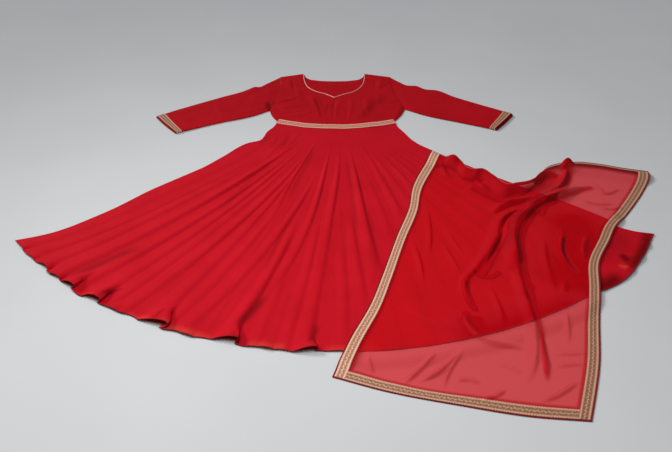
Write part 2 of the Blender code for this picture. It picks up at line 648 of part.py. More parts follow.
def sleeve_rings(edges, side, cuff_height, rows, depth):
    """Rings of a sleeve at shares of its length, moved inwards by a depth."""
    top, under, armhole, cuff = edges
    shares = np.array([row[0] for row in SLEEVE_RING])
    heights = np.array([row[1] for row in SLEEVE_RING])
    nodes = ring_shares()
    rings = []
    for row in rows:
        plan = coons(armhole, cuff, top, under, nodes, np.full(nodes.shape, row))
        plan[:, 0] += side * SEAM * (1 - row)
        width = np.linalg.norm(plan[-1] - plan[0])
        tall = SLEEVE_HEIGHT + (cuff_height - SLEEVE_HEIGHT) * row
        floor = (LACE + GAP) * smooth((row - CUFF_LIFT_FROM) / CUFF_LIFT_OVER)
        ring = np.stack((shares * width, heights * tall + floor), axis=-1)
        ring = inset(ring, depth)
        x = np.interp(ring[:, 0] / width, nodes, plan[:, 0])
        y = np.interp(ring[:, 0] / width, nodes, plan[:, 1])
        outside = np.clip(ring[:, 0] / width, None, 0.0) + np.clip(ring[:, 0] / width - 1, 0.0, None)
        across = plan[-1] - plan[0]
        rings.append(np.stack((x + across[0] * outside, y + across[1] * outside, ring[:, 1]), axis=-1))
    return np.array(rings)


def make_sleeve(name, edges, side, cuff_height, cloth, lace):
    """A sleeve laid flat, and the ring of lace at its cuff."""
    length = np.linalg.norm(np.subtract(edges[0][0], edges[0][-1]))
    last = 1 - CLOTH_EDGE / length
    first = last - CUFF_LACE / length
    rows = SLEEVE_ROWS + (first, (first + last) / 2, last, 1.0)
    outer = sleeve_rings(edges, side, cuff_height, rows, 0.0)
    inner = sleeve_rings(edges, side, cuff_height, rows, CLOTH)
    tube("sleeve_" + name, outer, inner, cloth)
    rows = (first, (first + last) / 2, last)
    outer = sleeve_rings(edges, side, cuff_height, rows, -GAP - LACE)
    inner = sleeve_rings(edges, side, cuff_height, rows, -GAP)
    tube("cuff_lace_" + name, outer, inner, lace)


def stand_at_middle():
    """Move the whole suit so that its box stands centred on the origin."""
    bpy.context.view_layer.update()
    pieces = list(bpy.context.scene.objects)
    corners = []
    for piece in pieces:
        mesh = piece.to_mesh()
        corners += [tuple(vertex.co) for vertex in mesh.vertices]
        piece.to_mesh_clear()
    low = np.min(corners, axis=0)
    high = np.max(corners, axis=0)
    base = bpy.data.objects.new("suit", None)
    bpy.context.scene.collection.objects.link(base)
    for piece in pieces:
        piece.parent = base
    base.location = (-(low[0] + high[0]) / 2, -(low[1] + high[1]) / 2, -low[2])


def main():
    skirt_cloth = material("skirt_georgette", srgb(190, 27, 36), 0.62)
    bodice_cloth = material("bodice_georgette", srgb(156, 14, 24), 0.62)
    inside = material("inside_cloth", srgb(150, 16, 28), 0.70)
    sheer = material("sheer_chiffon", srgb(176, 28, 40), 0.55)
    gold = material("gold_lace", srgb(176, 128, 98), 0.45, 0.35)
    piping = material("gold_piping", srgb(190, 132, 96), 0.42, 0.35)
    make_skirt(skirt_cloth, inside, gold)
    make_bodice(bodice_cloth, inside, piping)
    left = (LEFT_SLEEVE_TOP, LEFT_SLEEVE_UNDER, LEFT_ARMHOLE, LEFT_CUFF)
    right = (RIGHT_SLEEVE_TOP, RIGHT_SLEEVE_UNDER, RIGHT_ARMHOLE, RIGHT_CUFF)
    make_sleeve("left", left, -1, SLEEVE_HEIGHT, bodice_cloth, gold)
    make_sleeve("right", right, 1, RIGHT_CUFF_HEIGHT, bodice_cloth, gold)
    make_dupatta(sheer, gold)
    stand_at_middle()


main()
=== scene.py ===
# A maxi suit laid out on the floor: a flared long-sleeved dress with gold lace, and a sheer bordered dupatta
# over one side of its skirt. Each solid is replaced by finer cloth or lace on the same form.
# Plan places are metres from the centre of the hem's circle, x to the photo's right, y to the neck. Left and
# right are the photo's.
import math

import bpy
import numpy as np
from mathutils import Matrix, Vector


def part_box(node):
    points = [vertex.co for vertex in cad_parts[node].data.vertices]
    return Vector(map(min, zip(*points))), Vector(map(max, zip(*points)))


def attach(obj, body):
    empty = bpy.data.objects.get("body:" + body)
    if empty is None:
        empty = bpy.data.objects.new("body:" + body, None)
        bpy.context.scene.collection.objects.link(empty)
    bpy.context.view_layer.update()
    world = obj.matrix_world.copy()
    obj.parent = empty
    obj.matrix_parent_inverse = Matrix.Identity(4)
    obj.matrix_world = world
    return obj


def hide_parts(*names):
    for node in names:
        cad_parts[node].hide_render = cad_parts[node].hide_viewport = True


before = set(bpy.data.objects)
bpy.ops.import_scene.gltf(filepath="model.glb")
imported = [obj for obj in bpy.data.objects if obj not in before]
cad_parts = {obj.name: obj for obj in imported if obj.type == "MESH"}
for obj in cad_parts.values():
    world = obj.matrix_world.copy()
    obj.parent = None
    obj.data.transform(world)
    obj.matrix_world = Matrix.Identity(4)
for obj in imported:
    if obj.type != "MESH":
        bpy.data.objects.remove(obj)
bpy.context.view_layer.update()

# The centre of the hem's circle in the frame, from the left and top sides of the bodice's back
BACK_SIDES = (-0.228, 0.285)
BACK_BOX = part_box("bodice_back")
SHIFT = np.array((BACK_BOX[0].x - BACK_SIDES[0], BACK_BOX[1].y - BACK_SIDES[1], 0.0))

# Cloth and clearances
CLOTH = 0.0010
BACK_CLOTH = 0.0015
LACE = 0.0009
GAP = 0.0003
SLACK = 0.0002
SEAM = 0.0006
FRONT_LIFT = BACK_CLOTH + GAP

# Tone of cloth with neither shade nor floor in it, and the angle that a mesh shows as an edge
PLAIN = 0.5
SHARP = 60

# Skirt: its circle, its waist and the corners where they meet, in metres and degrees
HEM_RADIUS = 1.066
LEFT_HEM = 49.0
RIGHT_HEM = 50.2
WAIST_DROP = 0.117
WAIST_HALF = 0.190
WAIST_RISE = 0.036
WAIST_CORNER = math.degrees(math.atan2(WAIST_HALF, WAIST_DROP - WAIST_RISE))
SKIRT_COLUMNS = 470
SKIRT_ROWS = 96
COLUMN_CROWD = 0.012
ROW_CROWD = 0.92

# Back of the skirt, drawn in at the hem and less curled there
BACK_HEM_INSET = (0.003, 0.013)
BACK_CURL = 0.15
BACK_COLUMNS = 300
BACK_ROWS = 24
BACK_HEM_ROWS = 14
BACK_HEM_FROM = 0.9

# Hem beneath the dupatta, from and to degrees, where the front comes down onto the floor
COVERED_HEM = (2.0, 34.6)
COVERED_FADE = 1.5
HEM_DROP = 0.012

# Right corner of the hem, which spreads and then draws in, in metres and degrees
CORNER_SPREAD = 0.015
SPREAD_AT = 38.5
SPREAD_HALF = 7.5
CORNER_DRAW = 0.014
DRAW_FROM = 44.5
DRAW_OVER = 5.7

# Slow waves of the hem's edge: waves over the whole hem, phase in turns, depth. They grow over a twelfth of
# the hem, fade over some degrees where the dupatta covers it, and start some share of the way down
HEM_WAVES = (
    (7.3, 0.10, 0.0022),
    (17.0, 0.62, 0.0016),
    (31.0, 0.27, 0.0012),
)
WAVES_RISE = 12
WAVES_FADE = 3
WAVE_SHARE = 0.8

# How much of its tabled height each kind of fold has, and how it swells and fades along its crest
FOLD_CALM = 0.66
FINE_CALM = 0.45
WAIST_CALM = 0.32
CALM_TO = 0.08
CALM_FADE = 0.36
FOLD_SWELL = 0.22
SWELL_PACE = 7
SWELL_STEP = 2.4
FOLD_ENDS = (0.30, 0.25)
FINE_ENDS = (0.35, 0.35)

# Folds are pressed flat where the dupatta lies on them
COVERED_FOLD = 0.0012
COVER_START = 0.034
COVER_EDGE = 0.026

# Rolled edges: radius, lift over the cloth's underside, and degrees by which the skirt's parts overlap
ROLL = 0.0009
SKIRT_ROLL = 0.0010
COVERED_ROLL = 0.0006
ROLL_LIFT = np.array((0.0, 0.0, 0.0010))
HEM_OVERLAP = 0.2
ROD_SIDES = 8

# Cord along the neckline
PIPING_RADIUS = 0.0016
CORD_OUT = 0.0004
CORD_POINTS = 360
CORD_TWIST = 0.006
TWIST_DEPTH = 0.20
CORD_TONE = 0.65
CORD_PACE = 1.7

# Lace: widths, bare cloth outside it, and its pattern, with pitches along it, and places and half widths
# across it as shares of its half width
WAIST_LACE = 0.026
CUFF_LACE = 0.026
DUPATTA_LACE = 0.021
CLOTH_EDGE = 0.003
LACE_COLUMNS = 17
LACE_CROWD = 0.18
BRAID_AT = 0.80
BRAID_HALF = 0.20
BRAID_PITCH = 0.0052
BRAID_SLANT = 0.6
WAVE_PITCH = 0.0105
WAVE_HALF = 0.17
WAVE_SWAY = 0.10
PETAL_PITCH = 0.0070
DASH_AT = 0.42
DASH_HALF = 0.14
DASH_PITCH = 0.0062
SCALLOP = 0.0007

# Lace over the waist seam, and how it wanders: depth, radians in each metre, phase
WAIST_LACE_END = 0.001
WAIST_LACE_POINTS = 420
WAIST_WOBBLES = ((0.0008, 46.0, 0.0), (0.0005, 103.0, 1.0))

# How high the dupatta lies over the skirt, and how it comes down to the floor beside it
BED = 0.0056
BED_SHOULDER = 0.020
BED_SLOPE = 0.035

# Side outline of the skirt: share from waist to hem, then the left and right side's angle in degrees
SKIRT_SIDES = (
    (0.000, WAIST_CORNER, WAIST_CORNER),
    (0.020, 61.2, 61.0),
    (0.066, 56.0, 55.0),
    (0.120, 49.6, 50.0),
    (0.170, 51.4, 48.3),
    (0.285, 48.6, 48.0),
    (0.390, 47.2, 48.0),
    (0.550, 47.3, 48.5),
    (0.725, 46.5, 49.4),
    (0.840, 46.7, 49.4),
    (0.895, 47.1, 48.5),
    (0.940, 47.8, 48.9),
    (1.000, LEFT_HEM, RIGHT_HEM),
)

# Run of the skirt's folds: degrees at the hem, degrees at the waist, share of the side's own bend
SKIRT_FAN = (
    (-LEFT_HEM, -WAIST_CORNER, 1.00),
    (-46, -48.0, 0.60),
    (-42, -36.0, 0.20),
    (-37, -27.0, 0.02),
    (-30, -21.0, 0.00),
    (-20, -14.0, 0.00),
    (-10, -8.0, 0.00),
    (0, 0.0, 0.00),
    (8, 9.0, 0.00),
    (15, 18.0, 0.05),
    (25, 30.0, 0.20),
    (35, 42.0, 0.50),
    (42, 50.0, 0.72),
    (46, 56.0, 0.86),
    (RIGHT_HEM, WAIST_CORNER, 1.00),
)

# Folds of the skirt: share where it starts and ends, degrees at the start, middle and end of it,
# width to the left and to the right in degrees, height at its middle and at its end
SKIRT_FOLDS = (
    (0.03, 1.00, -47.6, -47.6, -47.6, 1.4, 1.0, 0.0030, 0.0030),
    (0.02, 0.30, -49.0, -44.5, -39.5, 2.4, 1.2, 0.0060, 0.0020),
    (0.02, 0.24, -45.0, -41.0, -37.4, 2.0, 1.0, 0.0052, 0.0020),
    (0.22, 1.00, -45.4, -45.2, -44.6, 2.2, 1.1, 0.0024, 0.0036),
    (0.30, 1.00, -42.4, -42.2, -41.4, 2.4, 1.1, 0.0026, 0.0048),
    (0.04, 1.00, -37.8, -38.3, -38.5, 2.6, 1.2, 0.0074, 0.0085),
    (0.16, 1.00, -33.6, -34.3, -34.6, 2.2, 1.1, 0.0052, 0.0052),
    (0.05, 1.00, -30.2, -31.0, -31.4, 2.0, 1.1, 0.0034, 0.0050),
    (0.20, 1.00, -27.4, -28.6, -28.6, 1.8, 1.0, 0.0028, 0.0034),
    (0.05, 1.00, -22.0, -24.8, -26.4, 2.4, 1.1, 0.0048, 0.0045),
    (0.10, 1.00, -19.8, -21.8, -22.2, 1.9, 1.1, 0.0032, 0.0056),
    (0.04, 0.62, -22.6, -20.4, -16.6, 2.0, 1.0, 0.0044, 0.0016),
    (0.45, 1.00, -17.8, -19.0, -20.2, 1.6, 1.0, 0.0024, 0.0032),
    (0.28, 1.00, -9.4, -14.0, -18.2, 2.1, 1.0, 0.0048, 0.0040),
    (0.52, 1.00, -10.2, -11.2, -12.9, 1.8, 1.0, 0.0060, 0.0100),
    (0.74, 1.00, -8.8, -9.0, -9.2, 1.3, 0.9, 0.0026, 0.0036),
    (0.10, 0.90, -4.6, -6.4, -10.8, 2.0, 0.9, 0.0066, 0.0036),
    (0.52, 1.00, -4.4, -5.0, -5.8, 1.5, 0.9, 0.0026, 0.0036),
    (0.08, 1.00, 3.2, -1.6, -3.6, 2.2, 1.0, 0.0052, 0.0070),
    (0.58, 1.00, 1.0, 1.2, 0.8, 1.5, 0.9, 0.0026, 0.0026),
    (0.48, 0.98, 3.4, 3.7, 4.0, 1.7, 0.9, 0.0040, 0.0024),
    (0.10, 1.00, 8.2, 6.7, 7.0, 2.6, 0.9, 0.0088, 0.0030),
    (0.20, 1.00, 11.4, 10.8, 10.6, 2.0, 1.4, 0.0026, 0.0020),
    (0.02, 1.00, 17.0, 15.2, 14.8, 2.1, 1.4, 0.0040, 0.0020),
    (0.06, 1.00, 19.6, 19.4, 19.2, 2.2, 1.6, 0.0032, 0.0020),
    (0.10, 1.00, 24.8, 24.2, 24.2, 2.5, 1.1, 0.0054, 0.0020),
    (0.05, 1.00, 29.4, 29.4, 29.4, 2.4, 1.5, 0.0030, 0.0020),
    (0.10, 1.00, 34.6, 34.6, 34.6, 2.4, 1.4, 0.0028, 0.0020),
    (0.05, 1.00, 39.4, 39.4, 39.4, 2.2, 1.3, 0.0028, 0.0030),
    (0.08, 1.00, 43.6, 43.6, 43.6, 1.9, 1.1, 0.0030, 0.0042),
    (0.05, 1.00, 47.2, 47.2, 47.2, 1.6, 1.1, 0.0028, 0.0026),
)

# Fine folds between them: share where it starts and ends, degrees at the start and end, half width, height
FINE_FOLDS = (
    (0.30, 1.00, -48.4, -48.5, 0.30, 0.0006),
    (0.45, 0.96, -46.4, -46.5, 0.45, 0.0009),
    (0.10, 0.66, -44.0, -43.8, 0.55, 0.0010),
    (0.60, 1.00, -43.4, -43.0, 0.40, 0.0009),
    (0.25, 0.80, -41.0, -40.8, 0.50, 0.0009),
    (0.55, 1.00, -39.9, -40.2, 0.45, 0.0011),
    (0.30, 0.92, -36.4, -36.3, 0.42, 0.0008),
    (0.62, 1.00, -35.9, -35.6, 0.40, 0.0010),
    (0.08, 0.56, -35.6, -35.8, 0.60, 0.0009),
    (0.40, 0.97, -32.7, -32.9, 0.45, 0.0010),
    (0.14, 0.60, -32.0, -32.2, 0.50, 0.0008),
    (0.70, 1.00, -30.1, -29.8, 0.40, 0.0011),
    (0.24, 0.74, -29.2, -29.6, 0.48, 0.0009),
    (0.50, 0.94, -27.4, -27.2, 0.42, 0.0009),
    (0.10, 0.48, -26.4, -26.8, 0.60, 0.0009),
    (0.66, 1.00, -25.2, -25.0, 0.38, 0.0010),
    (0.34, 0.88, -23.2, -23.5, 0.45, 0.0009),
    (0.10, 0.52, -18.2, -18.0, 0.60, 0.0010),
    (0.76, 1.00, -18.9, -19.0, 0.36, 0.0009),
    (0.46, 0.90, -16.6, -16.9, 0.45, 0.0009),
    (0.70, 1.00, -15.9, -15.4, 0.42, 0.0011),
    (0.30, 0.70, -14.6, -15.0, 0.50, 0.0008),
    (0.08, 0.50, -13.6, -13.0, 0.60, 0.0009),
    (0.78, 1.00, -14.2, -14.1, 0.36, 0.0009),
    (0.20, 0.62, -8.4, -8.8, 0.52, 0.0009),
    (0.62, 1.00, -11.4, -11.0, 0.36, 0.0007),
    (0.80, 1.00, -7.4, -7.3, 0.40, 0.0010),
    (0.06, 0.46, -1.8, -2.2, 0.60, 0.0009),
    (0.36, 0.80, -3.2, -3.4, 0.46, 0.0009),
    (0.64, 0.98, -1.6, -1.9, 0.42, 0.0009),
    (0.30, 0.72, 0.8, 1.0, 0.50, 0.0009),
    (0.74, 1.00, -0.5, -0.3, 0.36, 0.0008),
    (0.10, 0.58, 4.6, 4.8, 0.55, 0.0009),
    (0.60, 0.98, 2.5, 2.4, 0.40, 0.0009),
    (0.70, 1.00, 5.2, 5.3, 0.40, 0.0008),
    (0.24, 0.80, 8.9, 9.1, 0.50, 0.0007),
    (0.06, 0.52, 12.9, 12.8, 0.62, 0.0010),
    (0.20, 0.60, 16.8, 17.0, 0.55, 0.0008),
    (0.04, 0.40, 21.6, 21.8, 0.70, 0.0010),
    (0.16, 0.52, 27.0, 26.6, 0.60, 0.0009),
    (0.03, 0.36, 31.8, 32.0, 0.70, 0.0009),
    (0.06, 0.30, 37.0, 37.0, 0.70, 0.0008),
    (0.86, 1.00, 41.8, 41.8, 0.40, 0.0011),
    (0.82, 1.00, 45.2, 45.3, 0.40, 0.0011),
    (0.84, 1.00, 48.6, 48.7, 0.35, 0.0009),
)

# Places where the hem curls up: degrees, half width to the left and right in degrees, height, share of the
# skirt that curls, degrees that the crest leans and that its sides bulge, how far the edge is drawn in
HEM_CURLS = (
    (-46.9, 1.1, 0.7, 0.006, 0.05, 0.1, 0.20, 0.001),
    (-44.0, 0.9, 0.7, 0.005, 0.04, 0.1, 0.20, 0.001),
    (-40.9, 1.4, 0.8, 0.010, 0.05, 0.3, 0.40, 0.003),
    (-38.0, 0.9, 0.6, 0.007, 0.05, 0.2, 0.30, 0.002),
    (-35.5, 1.4, 0.7, 0.016, 0.09, 0.8, 0.50, 0.005),
    (-31.0, 1.5, 0.8, 0.016, 0.10, 0.7, 0.50, 0.004),
    (-27.6, 1.0, 1.0, 0.005, 0.04, 0.1, 0.20, 0.000),
    (-21.6, 2.4, 0.8, 0.016, 0.10, 1.3, 0.65, 0.009),
    (-17.4, 1.0, 1.0, 0.005, 0.03, 0.1, 0.20, 0.000),
    (-12.2, 1.8, 0.6, 0.015, 0.09, 0.8, 0.45, 0.004),
    (-8.0, 1.0, 1.0, 0.005, 0.03, 0.1, 0.20, 0.000),
    (-3.0, 1.7, 0.6, 0.013, 0.05, 0.6, 0.45, 0.003),
    (1.6, 1.0, 1.0, 0.004, 0.03, 0.1, 0.10, 0.000),
    (40.6, 1.3, 1.1, 0.003, 0.06, -0.1, 0.10, 0.000),
    (44.0, 1.0, 1.2, 0.004, 0.06, -0.1, 0.12, 0.000),
    (47.0, 0.9, 1.1, 0.003, 0.06, -0.1, 0.08, 0.000),
)

# Painted shade where the skirt's creases are so deep that little light reaches them: half width, share of
# light lost, route
SKIRT_PAINTED_SHADE = (
    (0.020, 0.50, ((-0.467, -0.719), (-0.53, -0.762), (-0.575, -0.799), (-0.637, -0.848))),
    (0.010, 0.60, ((-0.486, -0.875), (-0.513, -0.892), (-0.536, -0.915))),
    (0.017, 0.64, ((-0.154, -0.892), (-0.185, -0.953), (-0.214, -1.004))),
    (0.012, 0.60, ((-0.041, -0.983), (-0.047, -1.021), (-0.06, -1.057))),
    (0.010, 0.60, ((-0.228, -1.024), (-0.209, -1.038), (-0.199, -1.055))),
    (0.009, 0.50, ((-0.375, -0.946), (-0.387, -0.971), (-0.393, -0.995))),
    (0.012, 0.35, ((-0.467, -0.267), (-0.371, -0.261), (-0.28, -0.207), (-0.22, -0.182))),
    (0.035, 1.00, ((0.56, -0.902), (0.606, -0.876), (0.64, -0.854), (0.682, -0.826))),
    (0.026, 1.00, ((0.672, -0.838), (0.722, -0.786), (0.762, -0.732), (0.794, -0.676), (0.818, -0.63))),
    (0.017, 1.00, ((0.692, -0.752), (0.7, -0.772), (0.712, -0.788))),
    (0.070, 0.36, ((0.609, -0.788), (0.663, -0.727), (0.718, -0.695), (0.761, -0.703))),
    (0.016, 0.25, ((-0.214, -0.379), (-0.266, -0.482), (-0.316, -0.594))),
    (0.014, 0.25, ((-0.056, -0.207), (-0.103, -0.406), (-0.134, -0.553))),
    (0.016, 0.25, ((0.081, -0.53), (0.09, -0.703), (0.089, -0.838))),
    (0.012, 0.28, ((0.03, -0.267), (0.044, -0.482), (0.053, -0.703))),
    (0.012, 0.25, ((-0.105, -0.553), (-0.149, -0.723), (-0.172, -0.852))),
    (0.007, 0.50, ((-0.209, -0.156), (-0.221, -0.201), (-0.236, -0.243))),
    (0.006, 0.45, ((-0.183, -0.169), (-0.189, -0.213), (-0.201, -0.261))),
    (0.006, 0.40, ((-0.154, -0.175), (-0.158, -0.219), (-0.167, -0.267))),
)

# Places near its hem where one layer shows the floor through it: half width, strength, route
SKIRT_THIN = (
    (0.024, 0.60, ((-0.192, -1.049), (-0.153, -1.057), (-0.099, -1.063))),
    (0.020, 0.50, ((-0.033, -1.063), (0.029, -1.065), (0.099, -1.06))),
    (0.019, 0.65, ((-0.392, -0.992), (-0.342, -1.007), (-0.282, -1.029), (-0.251, -1.041))),
    (0.012, 0.55, ((-0.466, -0.956), (-0.426, -0.974), (-0.399, -0.977))),
    (0.009, 0.50, ((-0.577, -0.895), (-0.548, -0.909))),
    (0.014, 1.00, ((0.676, -0.806), (0.689, -0.802), (0.7, -0.796))),
)

# Bodice edges, left and right, from the top down
LEFT_NECK = (
    (-0.12, 0.285), (-0.114, 0.225), (-0.096, 0.167), (-0.068, 0.137), (-0.036, 0.118), (-0.006, 0.092))
RIGHT_NECK = (
    (0.105, 0.285), (0.101, 0.222), (0.086, 0.17), (0.06, 0.136), (0.028, 0.117), (-0.006, 0.092))
LEFT_BACK_NECK = ((-0.12, 0.285), (-0.112, 0.262), (-0.098, 0.244), (-0.066, 0.232), (-0.006, 0.226))
RIGHT_BACK_NECK = ((0.105, 0.285), (0.099, 0.262), (0.086, 0.244), (0.056, 0.232), (-0.006, 0.226))
LEFT_ARMHOLE = ((-0.205, 0.257), (-0.2, 0.2), (-0.203, 0.14), (-0.213, 0.08), (-0.223, -0.004))
RIGHT_ARMHOLE = ((0.2, 0.257), (0.199, 0.2), (0.203, 0.14), (0.215, 0.08), (0.232, 0.005))
LEFT_SIDE = ((-0.223, -0.004), (-0.211, -0.042), (-WAIST_HALF, WAIST_RISE - WAIST_DROP + SEAM / 2))
RIGHT_SIDE = ((0.232, 0.005), (0.215, -0.038), (WAIST_HALF, WAIST_RISE - WAIST_DROP + SEAM / 2))
NECK_SHARE_AT_ARMPIT = 0.62
NECK_SHARE_AT_WAIST = 0.84
BODICE_POINTS = (40, 14, 36)
BODICE_LEVELS = 46
BACK_LEVELS = 16
BODICE_EDGE = 0.06
DART_FADE = 0.30
CREASE_FLOOR = 0.0008

# Soft swells of the bodice, and the sharper ones: route, half width, height
BODICE_SWELLS = (
    (((-0.09, 0.12), (-0.06, 0.02), (-0.04, -0.07)), 0.022, 0.0026),
    (((0.02, 0.08), (0.0, 0.01), (-0.004, -0.06)), 0.018, 0.0018),
    (((0.112, 0.11), (0.1, 0.02), (0.098, -0.06)), 0.024, 0.0026),
    (((-0.215, 0.06), (-0.17, 0.075), (-0.12, 0.1)), 0.018, 0.0026),
    (((-0.205, 0.02), (-0.16, 0.022), (-0.11, 0.035)), 0.014, 0.0024),
    (((0.215, 0.055), (0.175, 0.072), (0.135, 0.095)), 0.018, 0.0026),
    (((0.212, 0.018), (0.17, 0.024), (0.12, 0.026)), 0.014, 0.0020),
    (((-0.175, 0.25), (-0.17, 0.2), (-0.16, 0.15)), 0.018, 0.0020),
    (((0.165, 0.25), (0.16, 0.2), (0.15, 0.16)), 0.018, 0.0022),
    (((-0.17, -0.04), (-0.12, -0.036), (-0.08, -0.02)), 0.014, 0.0018),
    (((0.06, -0.02), (0.12, -0.03), (0.17, -0.045)), 0.014, 0.0018),
    (((-0.03, 0.07), (-0.036, 0.02), (-0.06, -0.06)), 0.012, 0.0014),
    (((0.05, 0.1), (0.052, 0.03), (0.04, -0.07)), 0.014, 0.0016),
    (((-0.14, 0.18), (-0.13, 0.11), (-0.12, 0.04)), 0.016, 0.0015),
    (((0.15, 0.13), (0.146, 0.06), (0.15, -0.01)), 0.016, 0.0016),
    (((0.13, 0.06), (0.105, 0.02), (0.09, -0.03)), 0.020, 0.0022),
    (((-0.195, 0.225), (-0.18, 0.205), (-0.15, 0.19)), 0.010, 0.0014),
    (((0.19, 0.225), (0.176, 0.2), (0.15, 0.185)), 0.010, 0.0016),
)

# Creases of the bodice, sewn or pressed in: route, half width, depth
BODICE_CREASES = (
    (((-0.078, 0.104), (-0.062, 0.03), (-0.042, -0.076)), 0.0065, 0.0020),
    (((0.0, 0.088), (-0.006, 0.01), (-0.01, -0.09)), 0.0055, 0.0014),
    (((0.094, 0.1), (0.092, 0.02), (0.106, -0.07)), 0.0070, 0.0018),
    (((-0.222, 0.04), (-0.19, 0.052), (-0.15, 0.074)), 0.0060, 0.0018),
    (((0.226, 0.036), (0.19, 0.052), (0.155, 0.07)), 0.0060, 0.0018),
    (((-0.16, 0.24), (-0.152, 0.18), (-0.14, 0.12)), 0.0060, 0.0009),
    (((0.142, 0.235), (0.14, 0.18), (0.128, 0.12)), 0.0060, 0.0009),
    (((-0.168, -0.02), (-0.12, -0.012), (-0.08, 0.004)), 0.0060, 0.0012),
    (((0.168, -0.024), (0.13, -0.012), (0.11, 0.006)), 0.0060, 0.0012),
    (((0.04, 0.02), (0.036, -0.03), (0.03, -0.09)), 0.0050, 0.0010),
    (((-0.12, 0.0), (-0.11, -0.04), (-0.104, -0.09)), 0.0050, 0.0010),
)

# Painted shade in the bodice's deep creases: half width, share of light lost, route
BODICE_PAINTED_SHADE = (
    (0.034, 0.30, ((0.176, 0.124), (0.129, 0.04), (0.097, -0.025), (0.068, -0.094))),
    (0.016, 0.60, ((0.242, 0.116), (0.23, 0.025), (0.216, -0.025), (0.188, -0.094))),
    (0.014, 0.50, ((-0.215, 0.14), (-0.222, 0.04), (-0.23, -0.025))),
    (0.009, 0.50, ((-0.208, 0.085), (-0.216, 0.05), (-0.22, 0.018))),
    (0.009, 0.50, ((-0.077, 0.101), (-0.061, 0.018), (-0.046, -0.067))),
    (0.007, 0.35, ((-0.01, 0.078), (-0.014, 0.018), (-0.016, -0.053))),
)

# Sleeve edges from the armhole to the cuff, and the cuff's own line from its upper corner
LEFT_SLEEVE_TOP = (
    (-0.205, 0.257), (-0.247, 0.204), (-0.276, 0.174), (-0.289, 0.176), (-0.301, 0.166), (-0.313, 0.153),
    (-0.4, 0.092), (-0.5, 0.023), (-0.592, -0.049))
LEFT_SLEEVE_UNDER = ((-0.223, -0.004), (-0.27, -0.039), (-0.38, -0.09), (-0.507, -0.157))
LEFT_CUFF = ((-0.592, -0.049), (-0.552, -0.103), (-0.507, -0.157))
RIGHT_SLEEVE_TOP = (
    (0.2, 0.257), (0.228, 0.216), (0.256, 0.187), (0.284, 0.184), (0.32, 0.154), (0.35, 0.149),
    (0.41, 0.096), (0.5, 0.029), (0.584, -0.034))
RIGHT_SLEEVE_UNDER = ((0.232, 0.005), (0.3, -0.04), (0.4, -0.085), (0.51, -0.135))
RIGHT_CUFF = ((0.584, -0.034), (0.55, -0.083), (0.51, -0.135))

# Painted shade in the deep crease of the left sleeve: half width, share of light lost, route
SLEEVE_PAINTED_SHADE = (
    (0.016, 0.90, ((-0.236, 0.064), (-0.231, 0.036), (-0.225, 0.006), (-0.219, -0.018))),
)

# Sleeves laid flat: heights, points, shares of the length where they rise and fade, and the section's form
SLEEVE_HEIGHT = 0.0052
RIGHT_CUFF_HEIGHT = 0.0072
ARMHOLE_HEIGHT = 0.0031
ARMHOLE_RISE = 0.12
LEFT_CUFF_LIP = 0.002
RIGHT_CUFF_LIP = 0.005
LIP_FROM = 0.86
SLEEVE_ACROSS = 44
SLEEVE_ALONG = 96
SLEEVE_NODES = 41
CUFF_POINTS = 330
CUFF_LIFT_FROM = 0.76
CUFF_LIFT_OVER = 0.11
RELIEF_RISE = 0.05
RELIEF_END = 0.93
CUFF_RELIEF_FADE = 0.10
SECTION_WIDE = 0.8
SECTION_TALL = 0.38
SECTION_EDGE = 0.45

# Wrinkles of the sleeves' upper side: route, half width, height
LEFT_SLEEVE_WRINKLES = (
    (((-0.225, 0.215), (-0.29, 0.15), (-0.4, 0.06)), 0.020, 0.0022),
    (((-0.23, 0.12), (-0.3, 0.075), (-0.38, 0.035)), 0.016, 0.0020),
    (((-0.225, 0.06), (-0.27, 0.045), (-0.33, 0.02)), 0.012, 0.0022),
    (((-0.232, 0.02), (-0.29, -0.01), (-0.35, -0.05)), 0.012, 0.0020),
    (((-0.3, 0.15), (-0.318, 0.11), (-0.34, 0.08)), 0.010, 0.0014),
    (((-0.34, -0.06), (-0.38, -0.03), (-0.41, 0.02)), 0.012, 0.0014),
    (((-0.42, -0.03), (-0.47, -0.06), (-0.53, -0.095)), 0.014, 0.0014),
    (((-0.43, 0.05), (-0.48, 0.01), (-0.53, -0.04)), 0.014, 0.0014),
    (((-0.27, 0.18), (-0.3, 0.168), (-0.33, 0.13)), 0.009, 0.0014),
)
RIGHT_SLEEVE_WRINKLES = (
    (((0.235, 0.18), (0.28, 0.14), (0.36, 0.09)), 0.018, 0.0022),
    (((0.225, 0.11), (0.29, 0.08), (0.37, 0.045)), 0.016, 0.0022),
    (((0.23, 0.06), (0.285, 0.04), (0.34, 0.0)), 0.012, 0.0022),
    (((0.236, 0.02), (0.29, -0.006), (0.35, -0.04)), 0.012, 0.0020),
    (((0.3, 0.168), (0.31, 0.13), (0.335, 0.09)), 0.010, 0.0022),
    (((0.345, 0.135), (0.352, 0.09), (0.38, 0.05)), 0.010, 0.0018),
    (((0.365, 0.11), (0.42, 0.06), (0.48, 0.02)), 0.012, 0.0016),
    (((0.4, 0.02), (0.45, -0.01), (0.51, -0.06)), 0.014, 0.0014),
    (((0.38, -0.06), (0.42, -0.05), (0.47, -0.085)), 0.012, 0.0014),
    (((0.25, 0.184), (0.272, 0.16), (0.29, 0.12)), 0.009, 0.0018),
)

